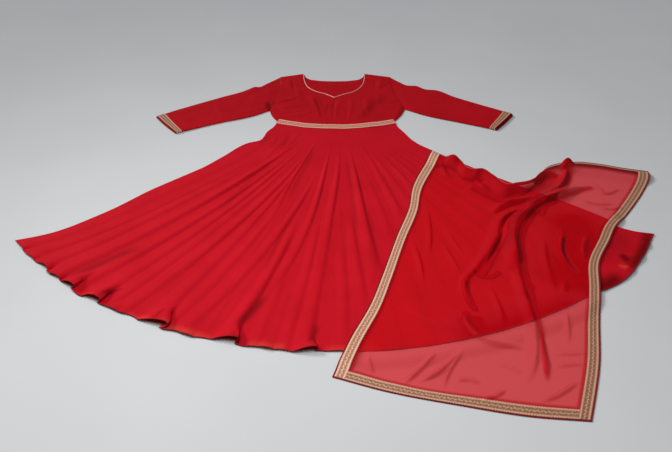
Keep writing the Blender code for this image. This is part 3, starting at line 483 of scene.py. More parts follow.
# Each sleeve: its side, edges, height and lip at the cuff, and wrinkles; then its cut: width all round,
# length, flat area, and length of its cuff lace
LEFT_SLEEVE = (-1, (LEFT_SLEEVE_TOP, LEFT_SLEEVE_UNDER, LEFT_ARMHOLE, LEFT_CUFF),
               SLEEVE_HEIGHT, LEFT_CUFF_LIP, LEFT_SLEEVE_WRINKLES)
RIGHT_SLEEVE = (1, (RIGHT_SLEEVE_TOP, RIGHT_SLEEVE_UNDER, RIGHT_ARMHOLE, RIGHT_CUFF),
                RIGHT_CUFF_HEIGHT, RIGHT_CUFF_LIP, RIGHT_SLEEVE_WRINKLES)
LEFT_SLEEVE_CUT = (0.52, 0.49, 0.141, 0.285)
RIGHT_SLEEVE_CUT = (0.51, 0.47, 0.129, 0.265)

# Dupatta edges: left and right run from the bottom up, bottom and top from the left
DUPATTA_LEFT = (
    (-0.007, -1.131), (0.029, -1.034), (0.077, -0.928), (0.106, -0.84), (0.155, -0.68), (0.195, -0.56),
    (0.212, -0.47), (0.252, -0.365), (0.29, -0.286))
DUPATTA_RIGHT = (
    (0.475, -1.235), (0.5, -1.18), (0.533, -1.102), (0.569, -0.99), (0.607, -0.872), (0.63, -0.795),
    (0.686, -0.703), (0.721, -0.646), (0.765, -0.596), (0.815, -0.534), (0.857, -0.477), (0.889, -0.426),
    (0.905, -0.379))
DUPATTA_BOTTOM = ((-0.007, -1.131), (0.1, -1.167), (0.24, -1.2), (0.36, -1.224), (0.475, -1.235))
DUPATTA_TOP = (
    (0.29, -0.286), (0.325, -0.316), (0.35, -0.322), (0.365, -0.338), (0.384, -0.384), (0.407, -0.391),
    (0.424, -0.389), (0.445, -0.416), (0.481, -0.466), (0.507, -0.459), (0.54, -0.45), (0.593, -0.388),
    (0.624, -0.352), (0.663, -0.334), (0.724, -0.328), (0.781, -0.34), (0.834, -0.359), (0.905, -0.379))
DUPATTA_COLUMNS = 190
DUPATTA_ROWS = 260

# Folds of the dupatta: half width left and right of its run, height, share of its length over which each
# end fades, crest's route
DUPATTA_FOLDS = (
    (0.016, 0.034, 0.0140, 0.16, (
        (0.717, -0.447), (0.674, -0.467), (0.633, -0.492), (0.592, -0.516), (0.561, -0.53),
        (0.535, -0.549), (0.505, -0.585), (0.477, -0.616), (0.456, -0.655), (0.442, -0.708),
        (0.435, -0.763), (0.422, -0.828))),
    (0.012, 0.024, 0.0090, 0.24, (
        (0.456, -0.66), (0.443, -0.724), (0.43, -0.8), (0.424, -0.877), (0.425, -0.939),
        (0.423, -0.996), (0.413, -1.061), (0.396, -1.106), (0.365, -1.156))),
    (0.014, 0.022, 0.0110, 0.14, (
        (0.676, -0.346), (0.655, -0.411), (0.624, -0.462), (0.587, -0.497), (0.548, -0.521),
        (0.507, -0.535), (0.472, -0.545), (0.435, -0.568), (0.4, -0.599))),
    (0.014, 0.026, 0.0100, 0.24, (
        (0.535, -0.552), (0.504, -0.568), (0.477, -0.584), (0.436, -0.615), (0.417, -0.645),
        (0.404, -0.687), (0.376, -0.742), (0.344, -0.799))),
    (0.012, 0.018, 0.0060, 0.30, (
        (0.389, -0.704), (0.358, -0.766), (0.328, -0.813), (0.301, -0.849), (0.295, -0.876),
        (0.3, -0.912), (0.315, -0.944))),
    (0.010, 0.014, 0.0055, 0.24, (
        (0.286, -0.949), (0.282, -0.982), (0.293, -1.009), (0.307, -1.029), (0.342, -1.043),
        (0.368, -1.047), (0.389, -1.055), (0.4, -1.068))),
    (0.011, 0.018, 0.0065, 0.34, (
        (0.587, -0.637), (0.566, -0.696), (0.549, -0.751), (0.551, -0.795), (0.564, -0.838))),
    (0.010, 0.014, 0.0030, 0.40, ((0.533, -0.837), (0.525, -0.868), (0.52, -0.898))),
    (0.005, 0.014, 0.0035, 0.36, ((0.279, -0.654), (0.294, -0.707), (0.311, -0.758))),
    (0.005, 0.014, 0.0035, 0.36, ((0.263, -0.699), (0.275, -0.754), (0.289, -0.813), (0.291, -0.841))),
    (0.006, 0.010, 0.0050, 0.30, ((0.21, -1.065), (0.163, -1.117), (0.129, -1.151))),
    (0.006, 0.010, 0.0060, 0.30, ((0.26, -1.06), (0.225, -1.1), (0.19, -1.129), (0.159, -1.143))),
    (0.006, 0.009, 0.0040, 0.30, ((0.264, -1.058), (0.217, -1.136), (0.208, -1.164))),
    (0.006, 0.009, 0.0040, 0.30, ((0.334, -1.158), (0.31, -1.175), (0.277, -1.186))),
    (0.006, 0.009, 0.0040, 0.30, ((0.233, -1.136), (0.266, -1.136), (0.286, -1.147))),
    (0.006, 0.009, 0.0040, 0.36, ((0.507, -0.938), (0.5, -0.989), (0.485, -1.047))),
    (0.006, 0.009, 0.0030, 0.36, ((0.44, -1.068), (0.481, -1.068), (0.521, -1.065))),
    (0.006, 0.009, 0.0040, 0.30, ((0.381, -1.189), (0.422, -1.177), (0.453, -1.158), (0.482, -1.134))),
    (0.010, 0.013, 0.0055, 0.40, ((0.438, -0.991), (0.428, -1.07), (0.425, -1.112), (0.416, -1.143))),
    (0.006, 0.010, 0.0050, 0.30, (
        (0.712, -0.434), (0.737, -0.464), (0.74, -0.489), (0.756, -0.489), (0.778, -0.474),
        (0.804, -0.464))),
    (0.006, 0.010, 0.0040, 0.30, ((0.652, -0.526), (0.685, -0.54), (0.721, -0.54), (0.763, -0.535))),
    (0.006, 0.010, 0.0040, 0.30, ((0.693, -0.567), (0.737, -0.563), (0.772, -0.554))),
    (0.006, 0.010, 0.0040, 0.34, ((0.741, -0.38), (0.788, -0.396), (0.836, -0.422))),
    (0.007, 0.014, 0.0070, 0.34, ((0.309, -0.313), (0.312, -0.373), (0.317, -0.405), (0.341, -0.421))),
    (0.008, 0.014, 0.0050, 0.36, ((0.39, -0.402), (0.404, -0.449), (0.431, -0.489))),
    (0.008, 0.016, 0.0040, 0.40, ((0.24, -0.516), (0.239, -0.667), (0.218, -0.806))),
    (0.008, 0.018, 0.0040, 0.40, ((0.524, -0.675), (0.506, -0.784), (0.5, -0.896))),
    (0.008, 0.016, 0.0040, 0.40, ((0.352, -0.856), (0.359, -0.922), (0.366, -0.995))),
    (0.008, 0.014, 0.0035, 0.40, ((0.134, -0.915), (0.2, -0.971), (0.267, -1.012))),
    (0.006, 0.009, 0.0040, 0.34, ((0.063, -1.074), (0.068, -1.1), (0.075, -1.126))),
    (0.006, 0.009, 0.0030, 0.34, ((0.324, -1.092), (0.359, -1.11), (0.377, -1.128))),
    (0.006, 0.009, 0.0030, 0.34, ((0.435, -1.1), (0.477, -1.097), (0.51, -1.094))),
    (0.010, 0.018, 0.0045, 0.40, ((0.648, -0.66), (0.611, -0.733), (0.597, -0.793))),
    (0.008, 0.014, 0.0040, 0.40, ((0.187, -0.675), (0.201, -0.792), (0.2, -0.889))),
)

# Where the dupatta lies in several layers: half width, share of it that is covered, route
DUPATTA_LAYERS = (
    (0.055, 0.72, ((0.394, -0.443), (0.426, -0.483), (0.457, -0.507), (0.503, -0.507), (0.553, -0.503))),
    (0.050, 0.72, ((0.481, -0.507), (0.542, -0.483), (0.591, -0.443), (0.64, -0.386))),
    (0.026, 0.72, ((0.668, -0.337), (0.664, -0.391), (0.636, -0.453), (0.6, -0.503), (0.574, -0.541))),
    (0.018, 0.35, ((0.726, -0.458), (0.676, -0.478), (0.638, -0.503), (0.606, -0.531))),
    (0.018, 0.60, (
        (0.609, -0.522), (0.57, -0.545), (0.53, -0.577), (0.495, -0.626), (0.467, -0.681),
        (0.448, -0.774), (0.443, -0.818))),
    (0.016, 0.60, (
        (0.513, -0.559), (0.469, -0.591), (0.44, -0.626), (0.424, -0.681), (0.395, -0.736),
        (0.355, -0.811), (0.328, -0.853))),
    (0.009, 0.50, (
        (0.446, -0.774), (0.438, -0.867), (0.439, -0.932), (0.437, -0.993), (0.429, -1.059),
        (0.417, -1.149))),
)

# Painted shade on broad and narrow parts of it over the skirt that lie in less light: half width, tone, route
DUPATTA_SHADES = (
    (0.150, 0.34, ((0.605, -0.538), (0.607, -0.71), (0.555, -0.823), (0.499, -0.924))),
    (0.100, 0.30, ((0.215, -1.057), (0.302, -1.029), (0.418, -0.985), (0.588, -0.911))),
    (0.060, 0.40, ((0.293, -0.955), (0.305, -1.015), (0.344, -1.032))),
    (0.026, 0.80, ((0.579, -0.67), (0.556, -0.749), (0.562, -0.794), (0.576, -0.851))),
    (0.012, 0.84, ((0.632, -0.678), (0.605, -0.749), (0.599, -0.801))),
    (0.013, 0.84, ((0.305, -0.841), (0.294, -0.881), (0.299, -0.924), (0.314, -0.961))),
    (0.016, 0.84, ((0.287, -0.943), (0.283, -0.991), (0.295, -1.02), (0.323, -1.054))),
    (0.012, 0.72, ((0.322, -0.809), (0.337, -0.834), (0.359, -0.841), (0.392, -0.816))),
    (0.030, 0.60, ((0.445, -1.015), (0.484, -0.979), (0.507, -0.943))),
    (0.012, 0.90, (
        (0.595, -0.533), (0.552, -0.566), (0.511, -0.601), (0.481, -0.653), (0.459, -0.726),
        (0.446, -0.816), (0.443, -0.898), (0.442, -0.973))),
    (0.012, 0.84, ((0.438, -0.636), (0.408, -0.71), (0.372, -0.772), (0.345, -0.816))),
    (0.014, 0.80, ((0.583, -0.517), (0.558, -0.563), (0.533, -0.608))),
    (0.014, 0.75, ((0.455, -0.859), (0.438, -0.89), (0.422, -0.919))),
    (0.030, 0.30, ((0.44, -0.747), (0.425, -0.792), (0.411, -0.835))),
)

# Its top edge left of the crest is rolled under: shares across where that ends, height of the roll, cloth
# behind its crest, how far that is drawn in, and width of its front; and places where the roll stands higher
ROLL_ENDS = (0.49, 0.63)
ROLL_HEIGHT = 0.016
EDGE_RISE = 0.0095
EDGE_DRAW = 0.004
ROLL_CLOTH = 0.030
ROLL_DRAW = 0.018
ROLL_FRONT = 0.058
ROLL_BUMPS = ((0.060, 0.030, -0.003), (0.096, 0.036, 0.008), (0.225, 0.030, 0.003))
PEAK_AT = 0.700
PEAK_WIDTH = 0.034
PEAK_RISE = 0.013
PEAK_DRAW = 0.016
DRAW_FADE = 0.30

# Layers that the dupatta stands for, from 0 to 1: at its edges, where it is steep, and in the roll; then
# painted shade added to the same tone where it faces away from the window, less of it where it lies just
# behind the roll
EDGE_LAYERS = 0.46
LAYERED_EDGE = 0.034
LAYERED_FADE = 0.006
STEEP_LAYERS = 0.8
STEEPEST = 0.3
ROLL_LAYERS = 0.72
ROLLED_TO = 0.085
ROLLED_FADE = 0.03
LAYERS_GAIN = 1.5
SKIRT_EDGE_FADE = 0.003
UNLIT_SIDE = (0.6, -0.8)
UNLIT = 0.45
UNLIT_ON_SKIRT = 0.30
BEHIND_TO = 0.10
BEHIND_FADE = 0.04
BEHIND_LIT = 0.8

# Lace on the dupatta's edges: edge, whether it is the far one, points along it, look, flat size
DUPATTA_LACES = (
    # The left lace takes the paler copy of the gold thread, as painted light
    ("left", False, 930, "pale", (DUPATTA_LACE, 0.95)),
    ("right", True, 930, "lace", (DUPATTA_LACE, 0.99)),
    ("bottom", False, 480, "lace", (0.46, DUPATTA_LACE)),
    ("top", True, 640, "lace", (0.66, DUPATTA_LACE)),
)

# Georgettes: look, name, dye where it is deep, plain, bright and as thin as one layer, and roughness
GEORGETTES = (
    ("skirt", "skirt_georgette", (202, 9, 29), (210, 12, 33), (217, 16, 37), (222, 66, 52), 0.72),
    ("bodice", "bodice_georgette", (188, 4, 21), (196, 6, 24), (203, 9, 27), 0.74),
    ("inside", "inside_georgette", (188, 5, 20), (196, 7, 23), (204, 10, 27), 0.78),
    ("hem", "rolled_hem", (132, 26, 36), (146, 32, 42), (158, 40, 48), 0.70),
    ("cuff", "cuff_edge", (92, 40, 34), (106, 48, 40), (118, 56, 46), 0.74),
)
CLEAR = (0.0, 0.0, 0.0, 1.0)
GRAIN_SHADE = 0.22
# Painted shade: the dark colour that the georgette turns to below plain tone, as shares of its deep dye's red
# and blue
PAINTED_SHADE_RED = 0.30
PAINTED_SHADE_BLUE = 0.10

# Chiffon: colours of thread, dye and painted shade in its folds, tint of the light through it, and what it
# covers at tone 0 and 1
SHEER_DYES = ((246, 58, 78), (206, 8, 26), (150, 0, 10))
SHEER_TINT = (1.0, 0.372, 0.382, 1.0)
SHEER_COVER = (0.13, 0.96)

# Metal threads: look, name, colour between the threads, of them and on their crowns, and roughness
THREADS = (
    ("lace", "gold_lace_thread", (150, 98, 72), (192, 140, 110), (228, 180, 150), 0.45),
    ("waist", "rose_gold_thread", (196, 98, 80), (236, 162, 138), (255, 214, 190), 0.45),
    # Painted light: a paler copy of the gold lace thread, for the dupatta's left lace, which lies in more
    # light
    ("pale", "pale_gold_thread", (178, 118, 90), (224, 168, 138), (248, 208, 178), 0.45),
    ("cord", "gold_cord_thread", (206, 112, 94), (244, 172, 152), (255, 220, 202), 0.42),
)
THREAD_METAL = 0.12
FRAY = (0.3, 0.7, -0.24, 0.24)

# Floor, lights and camera: places in metres, the place that each light points at, and angles in degrees
FLOOR_REACH = 9.0
FLOOR_COLOURS = ((214, 216, 217), (220, 221, 221))
ROOM_LIGHT = (0.93, 0.96, 1.0, 1.0)
ROOM_STRENGTH = 0.20
SUN_AIM = ((-2.4, 1.5, 1.75), (0.0, 0.0, 0.0))
SUN_ENERGY = 1.7
SUN_ANGLE = 16
BOX_AIM = ((-0.35, -0.93, 1.40), (-0.35, -0.93, 0.0))
BOX_SIZE = 0.9
BOX_ENERGY = 11.0
CAMERA_PLACE = (0.0, -1.972, 1.024)
CAMERA_TILT = 52.5
LENS = 34.82
SENSOR = 36.0
NEAREST = 0.05


def srgb(red, green, blue):
    """A display colour of 0 to 255, as the linear colour that a shader takes."""
    return tuple(((value / 255 + 0.055) / 1.055) ** 2.4 for value in (red, green, blue)) + (1.0,)


def smooth(share):
    """An even ramp from 0 to 1, held outside."""
    share = np.clip(share, 0.0, 1.0)
    return share * share * (3 - 2 * share)


def bump(offset):
    """A rounded crest, 1 at 0 and 0 from 1 outwards."""
    return 0.5 + 0.5 * np.cos(math.pi * np.clip(np.abs(offset), 0.0, 1.0))


def unit(directions):
    """Directions of length 1."""
    return directions / np.maximum(np.linalg.norm(directions, axis=-1, keepdims=True), 1e-12)


def distances(route):
    """Distance along a route from its first point to each of its points."""
    return np.concatenate(([0.0], np.cumsum(np.linalg.norm(np.diff(route, axis=0), axis=-1))))


def lifted(plan, height):
    """Points at a height over plan places."""
    height = np.broadcast_to(height, plan.shape[:-1])
    return np.concatenate((plan, height[..., None]), axis=-1)


def hermite(knots, values, slopes, at):
    """Values on cubic stretches between knots."""
    at = np.clip(at, knots[0], knots[-1])
    low = np.clip(np.searchsorted(knots, at) - 1, 0, len(knots) - 2)
    width = knots[low + 1] - knots[low]
    share = (at - knots[low]) / width
    rise = share * share * (3 - 2 * share)
    leave = share * (1 - share) ** 2
    arrive = share * share * (share - 1)
    return ((1 - rise) * values[low] + rise * values[low + 1]
            + width * (leave * slopes[low] + arrive * slopes[low + 1]))


def through(rows, column, at):
    """One column of a table read at any value of its first column, with no overshoot between rows."""
    table = np.array(rows, dtype=float)
    knots = table[:, 0]
    values = table[:, column]
    steps = np.diff(values) / np.diff(knots)
    slopes = np.zeros(len(knots))
    slopes[0] = steps[0]
    slopes[-1] = steps[-1]
    for row in range(1, len(knots) - 1):
        if steps[row - 1] * steps[row] > 0:
            slopes[row] = 2 * steps[row - 1] * steps[row] / (steps[row - 1] + steps[row])
    return hermite(knots, values, slopes, np.asarray(at, dtype=float))


def along(points, share):
    """Places on a smooth curve through the points, where 0 is the first point and 1 the last."""
    places = np.array(points, dtype=float)
    run = distances(places)
    knots = run / run[-1]
    share = np.asarray(share, dtype=float)
    sides = [hermite(knots, places[:, side], np.gradient(places[:, side], knots), share) for side in (0, 1)]
    return np.stack(sides, axis=-1)


def coons(low, high, left, right, u, v):
    """Plan places between four edges: low and high run with u, left and right run with v."""
    u, v = np.broadcast_arrays(np.asarray(u, dtype=float), np.asarray(v, dtype=float))
    across = (1 - v)[..., None] * along(low, u) + v[..., None] * along(high, u)
    upward = (1 - u)[..., None] * along(left, v) + u[..., None] * along(right, v)
    first = (1 - u)[..., None] * np.array(low[0]) + u[..., None] * np.array(low[-1])
    last = (1 - u)[..., None] * np.array(high[0]) + u[..., None] * np.array(high[-1])
    return across + upward - ((1 - v)[..., None] * first + v[..., None] * last)


def ridge(plan, route, left, right, height, fade):
    """Height of a rounded fold whose crest follows a route in plan, with its own width on each side."""
    crest = along(route, np.linspace(0.0, 1.0, 8 * len(route)))
    starts = distances(crest)
    best = np.full(plan.shape[:-1], np.inf)
    side = np.zeros(best.shape)
    share = np.zeros(best.shape)
    for begin, run, length, start in zip(crest, np.diff(crest, axis=0), np.diff(starts), starts):
        x = plan[..., 0] - begin[0]
        y = plan[..., 1] - begin[1]
        part = np.clip((x * run[0] + y * run[1]) / length ** 2, 0.0, 1.0)
        away = np.hypot(x - part * run[0], y - part * run[1])
        nearer = away < best
        best = np.where(nearer, away, best)
        side = np.where(nearer, run[0] * y - run[1] * x, side)
        share = np.where(nearer, (start + part * length) / starts[-1], share)
    ends = smooth(share / fade) * smooth((1 - share) / fade)
    return height * ends * bump(best / np.where(side > 0, left, right))


def strokes(plan, table, fade):
    """How strongly strokes of a table cover a plan place, for rows of half width, strength and route."""
    total = np.zeros(plan.shape[:-1])
    for width, strength, route in table:
        total = np.maximum(total, ridge(plan, route, width, width, strength, fade))
    return total


def blended(heights, power=3.0):
    """The upper side of several folds, rounded where they meet."""
    return sum(height ** power for height in heights) ** (1 / power)


def face_up(grid):
    """Unit normals at a grid's points, all facing up."""
    normals = unit(np.cross(np.gradient(grid, axis=1), np.gradient(grid, axis=0)))
    return normals * np.sign(normals[..., 2:3])


# Meshes
def thing(name, points, faces, look, tones=PLAIN):
    """A smooth mesh in the frame, with a tone from 0 to 1 at each of its points."""
    mesh = bpy.data.meshes.new(name)
    if isinstance(faces, np.ndarray):
        faces = faces.tolist()
    mesh.from_pydata((np.reshape(points, (-1, 3)) + SHIFT).tolist(), [], faces)
    mesh.shade_smooth()
    mesh.set_sharp_from_angle(angle=math.radians(SHARP))
    mesh.materials.append(look)
    layer = mesh.attributes.new("tone", "FLOAT", "POINT")
    layer.data.foreach_set("value", np.broadcast_to(np.ravel(tones), len(mesh.vertices)).astype(np.float32))
    made = bpy.data.objects.new(name, mesh)
    bpy.context.scene.collection.objects.link(made)
    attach(made, "root")
    return made


def stands_for(node):
    """Hides a solid, whose place a piece takes."""
    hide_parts(node)


def quads(rows, columns, ring=False):
    """Faces of a grid of points, which closes on itself across where it is a ring."""
    index = np.arange(rows * columns).reshape(rows, columns)
    if ring:
        index = np.concatenate((index, index[:, :1]), axis=1)
    faces = np.stack((index[:-1, :-1], index[:-1, 1:], index[1:, 1:], index[1:, :-1]), axis=-1)
    return faces.reshape(-1, 4)


def between(rim, count):
    """Faces that join a closed rim of one grid to the same rim of the next grid."""
    after = np.roll(rim, -1)
    return np.stack((rim, after, after + count, rim + count), axis=-1)


def wall(name, low, high, look, tones=PLAIN):
    """A closed wall between a lower and an upper grid of points."""
    rows, columns = low.shape[:2]
    count = rows * columns
    skin = quads(rows, columns)
    index = np.arange(count).reshape(rows, columns)
    rim = np.concatenate((index[0, :-1], index[:-1, -1], index[-1, :0:-1], index[:0:-1, 0]))
    sides = between(rim, count)
    turn = np.cross(low[0, 1] - low[0, 0], low[1, 0] - low[0, 0])[2] > 0
    faces = np.concatenate((skin[:, ::-1], skin + count, sides) if turn else
                           (skin, skin[:, ::-1] + count, sides[:, ::-1]))
    tones = np.tile(np.broadcast_to(tones, (rows, columns)).ravel(), 2)
    return thing(name, np.concatenate((low.reshape(-1, 3), high.reshape(-1, 3))), faces, look, tones)


def shell(name, grid, thickness, look, tones=PLAIN):
    """A closed wall of cloth on a grid of points on its underside."""
    return wall(name, grid, grid + face_up(grid) * thickness, look, tones)


def rod(name, route, radius, look, twist=None, tones=PLAIN):
    """A round edge or cord along a route, thicker and thinner where it is twisted."""
    route = np.asarray(route)
    forward = unit(np.gradient(route, axis=0))
    side = unit(np.cross(forward, (0.0, 0.0, 1.0)))
    up = np.cross(side, forward)
    angle = np.linspace(0.0, 2 * math.pi, ROD_SIDES, endpoint=False)
    size = np.full((len(route), ROD_SIDES), float(radius))
    if twist is not None:
        turns = distances(route)[:, None] / twist
        size *= 1 + TWIST_DEPTH * (np.cos(2 * angle[None, :] - 2 * math.pi * turns) - 1)
    out = np.cos(angle)[:, None] * side[:, None, :] + np.sin(angle)[:, None] * up[:, None, :]
    faces = quads(len(route), ROD_SIDES, ring=True)[:, ::-1].tolist()
    first = list(range(ROD_SIDES))
    last = [(len(route) - 1) * ROD_SIDES + corner for corner in reversed(first)]
    tones = np.repeat(np.broadcast_to(tones, len(route)), ROD_SIDES)
    return thing(name, route[:, None, :] + size[..., None] * out, faces + [first, last], look, tones)


def tube(name, outer, inner, look, tones=PLAIN):
    """A sleeve of cloth between an outer and an inner set of rings, with a tone for each point of a set."""
    rows, columns = outer.shape[:2]
    count = rows * columns
    skin = quads(rows, columns, ring=True)
    rim = np.arange(columns)
    ends = [between(rim, count), between(rim + count - columns, count)[:, ::-1]]
    spoke = outer[0, 0] - outer[0].mean(axis=0)
    turn = np.dot(np.cross(outer[0, 1] - outer[0, 0], outer[1, 0] - outer[0, 0]), spoke) > 0
    faces = np.concatenate((skin if turn else skin[:, ::-1], (skin[:, ::-1] if turn else skin) + count,
                            *[end[:, ::-1] if turn else end for end in ends]))
    tones = np.tile(np.broadcast_to(tones, (rows, columns)).ravel(), 2)
    return thing(name, np.concatenate((outer.reshape(-1, 3), inner.reshape(-1, 3))), faces, look, tones)


# Materials
def nodes_of(name):
    """A new material and its tree, its shader, and the place in metres that its textures use."""
    made = bpy.data.materials.new(name)
    made.use_nodes = True
    tree = made.node_tree
    return made, tree, tree.nodes["Principled BSDF"], added(tree, "TexCoord").outputs["Object"]


def added(tree, kind, values=None, links=None, **settings):
    """A new node with its own settings, and with values and links for its inputs."""
    node = tree.nodes.new("ShaderNode" + kind)
    for setting, value in settings.items():
        setattr(node, setting, value)
    for name, value in (values or {}).items():
        node.inputs[name].default_value = value
    for name, socket in (links or {}).items():
        tree.links.new(socket, node.inputs[name])
    return node


def tone_of(tree):
    """The tone at each point of a mesh."""
    return added(tree, "Attribute", attribute_name="tone").outputs["Fac"]


def noise(tree, place, scale, detail=2.0, roughness=0.6):
    """A noise texture in metres."""
    values = {"Scale": scale, "Detail": detail, "Roughness": roughness}
    return added(tree, "TexNoise", values, {"Vector": place}).outputs["Fac"]


def mapped(tree, value, low, high, at_low, at_high):
    """A value of one range moved to another."""
    values = {"From Min": low, "From Max": high, "To Min": at_low, "To Max": at_high}
    return added(tree, "MapRange", values, {"Value": value}).outputs["Result"]


def ramp(tree, value, stops):
    """Colours along a value from 0 to 1."""
    node = added(tree, "ValToRGB", links={"Fac": value})
    steps = node.color_ramp.elements
    while len(steps) < len(stops):
        steps.new(0.5)
    for step, (at, colour) in zip(steps, stops):
        step.position = at
        step.color = colour
    return node.outputs["Color"]


def set_shader(tree, shader, colour, heights, values):
    """Colour, bumps and constants of a shader: each bump is a height's socket, distance and strength."""
    tree.links.new(colour, shader.inputs["Base Color"])
    links = {}
    for height, distance, strength in heights:
        links["Height"] = height
        node = added(tree, "Bump", {"Distance": distance, "Strength": strength}, links)
        links = {"Normal": node.outputs["Normal"]}
    tree.links.new(links["Normal"], shader.inputs["Normal"])
    for name, value in values.items():
        shader.inputs[name].default_value = value


def georgette(name, deep, plain, bright, roughness, thin=CLEAR):
    """Crepe georgette: pebbled grain, uneven dye, painted shade at tone 0 and as thin as one layer at tone 1.
    """
    made, tree, shader, place = nodes_of(name)
    uneven = noise(tree, place, scale=9.0, detail=3.0)
    dye = ramp(tree, uneven, ((0.25, deep), (0.5, plain), (0.8, bright)))
    grain = noise(tree, place, scale=1100.0)
    crumple = noise(tree, place, scale=60.0, detail=3.0, roughness=0.55)
    fleck = added(tree, "Mix", {"Factor": GRAIN_SHADE}, {"A": dye, "B": grain},
                  data_type="RGBA", blend_type="MULTIPLY")
    shade = fleck.outputs["Result"]
    tone = tone_of(tree)
    # Painted shade is mixed in as the tone falls below plain, and the thin colour as it rises above it
    painted_shade = (PAINTED_SHADE_RED * deep[0], 0.0, PAINTED_SHADE_BLUE * deep[2], 1.0)
    for tint, *span in ((painted_shade, 0.0, PLAIN, 1.0, 0.0), (thin, PLAIN, 1.0, 0.0, 1.0)):
        links = {"Factor": mapped(tree, tone, *span), "A": shade}
        shade = added(tree, "Mix", {"B": tint}, links, data_type="RGBA").outputs["Result"]
    set_shader(tree, shader, shade, ((grain, 0.0004, 0.35), (crumple, 0.004, 0.10)), {
        "Roughness": roughness, "Sheen Weight": 0.03, "Sheen Roughness": 0.45, "Sheen Tint": bright,
        "Specular IOR Level": 0.08})
    return made


def chiffon(name, thread, deep, dark, tint):
    """Sheer chiffon: light passes, tinted by the threads, or comes back from them where its tone is high;
    painted shade at tone 1.
    """
    made, tree, shader, place = nodes_of(name)
    tone = tone_of(tree)
    # Tone 1 takes the dark colour of painted shade
    colour = ramp(tree, tone, ((0.0, thread), (0.3, deep), (0.72, deep), (1.0, dark)))
    grain = noise(tree, place, scale=1300.0)
    crumple = noise(tree, place, scale=75.0, detail=3.0, roughness=0.55)
    set_shader(tree, shader, colour, ((grain, 0.0003, 0.3), (crumple, 0.004, 0.14)), {
        "Roughness": 0.55, "Sheen Weight": 0.02, "Sheen Roughness": 0.4, "Specular IOR Level": 0.06})
    clear = added(tree, "BsdfTransparent", {"Color": tint})
    cover = mapped(tree, tone, 0.0, 1.0, *SHEER_COVER)
    mix = added(tree, "MixShader", None, {0: cover, 1: clear.outputs["BSDF"], 2: shader.outputs["BSDF"]})
    tree.links.new(mix.outputs["Shader"], tree.nodes["Material Output"].inputs["Surface"])
    return made


def metal_thread(name, gap, mid, light, roughness):
    """Gold thread: dark between the threads and light on their crowns, from each point's tone."""
    made, tree, shader, place = nodes_of(name)
    fray = noise(tree, place, scale=520.0)
    uneven = mapped(tree, fray, *FRAY)
    value = added(tree, "Math", None, {0: tone_of(tree), 1: uneven}, operation="ADD", use_clamp=True)
    colour = ramp(tree, value.outputs["Value"], ((0.05, gap), (0.45, mid), (0.95, light)))
    thread = noise(tree, place, scale=1500.0)
    heights = ((thread, 0.0003, 0.5), (fray, 0.0005, 0.4))
    set_shader(tree, shader, colour, heights, {"Metallic": THREAD_METAL, "Roughness": roughness})
    return made


def make_looks():
    """Every material, by the short name that the pieces use."""
    looks = {}
    for look, name, *dyes, roughness in GEORGETTES:
        deep, plain, bright, *thin = [srgb(*dye) for dye in dyes]
        looks[look] = georgette(name, deep, plain, bright, roughness, *thin)
    looks["sheer"] = chiffon("sheer_chiffon", *[srgb(*dye) for dye in SHEER_DYES], SHEER_TINT)
    for look, name, *shades, roughness in THREADS:
        looks[look] = metal_thread(name, *[srgb(*shade) for shade in shades], roughness)
    return looks


# Plan of the skirt
def waist_line(x):
    """Height up the plan of the waist seam."""
    return -WAIST_DROP + WAIST_RISE * (x / WAIST_HALF) ** 2


def waist_radius(degrees):
    """Distance from the hem's centre to the waist seam, at an angle."""
    angle = np.radians(degrees)
    bend = WAIST_RISE / WAIST_HALF ** 2 * np.sin(angle) ** 2
    return 2 * WAIST_DROP / (np.cos(angle) + np.sqrt(np.cos(angle) ** 2 + 4 * bend * WAIST_DROP))


def skirt_angle(hem, share):
    """Angle, share of the way down, of the fold line that reaches the hem at an angle."""
    waist = through(SKIRT_FAN, 1, hem)
    weight = through(SKIRT_FAN, 2, hem)
    left = WAIST_CORNER + (LEFT_HEM - WAIST_CORNER) * share - through(SKIRT_SIDES, 1, share)
    right = through(SKIRT_SIDES, 2, share) - WAIST_CORNER - (RIGHT_HEM - WAIST_CORNER) * share
    return waist + (hem - waist) * share + weight * np.where(hem < 0, left, right)


def curl(hem, share):
    """Height, lean and draw of the hem's curls."""
    height, lean, draw = np.zeros((3,) + np.broadcast(hem, share).shape)
    for degrees, left, right, rise, length, slant, bulge, inward in HEM_CURLS:
        offset = np.clip((hem - degrees) / np.where(hem < degrees, left, right), -1.0, 1.0)
        grown = smooth((share - 1 + length) / length)
        strength = bump(offset) * grown
        height += rise * strength
        lean += (slant * strength + bulge * np.sin(math.pi * offset) * grown) * grown ** 1.5
        draw += inward * strength
    return height, lean, draw


def hem_wave(hem):
    """How far the hem's edge wanders in and out, and spreads and draws in at its right corner."""
    turn = (hem + LEFT_HEM) / (LEFT_HEM + RIGHT_HEM)
    total = sum(depth * np.sin(2 * math.pi * (waves * turn + phase)) for waves, phase, depth in HEM_WAVES)
    corner = (CORNER_SPREAD * bump((hem - SPREAD_AT) / SPREAD_HALF)
              - CORNER_DRAW * smooth((hem - DRAW_FROM) / DRAW_OVER))
    return total * smooth(turn * WAVES_RISE) * (1 - smooth((hem - COVERED_HEM[0]) / WAVES_FADE)) + corner


def hem_covered(hem):
    """1 where the dupatta covers the skirt's hem, 0 clear of it."""
    return smooth((hem - COVERED_HEM[0]) / COVERED_FADE) * smooth((COVERED_HEM[1] - hem) / COVERED_FADE)


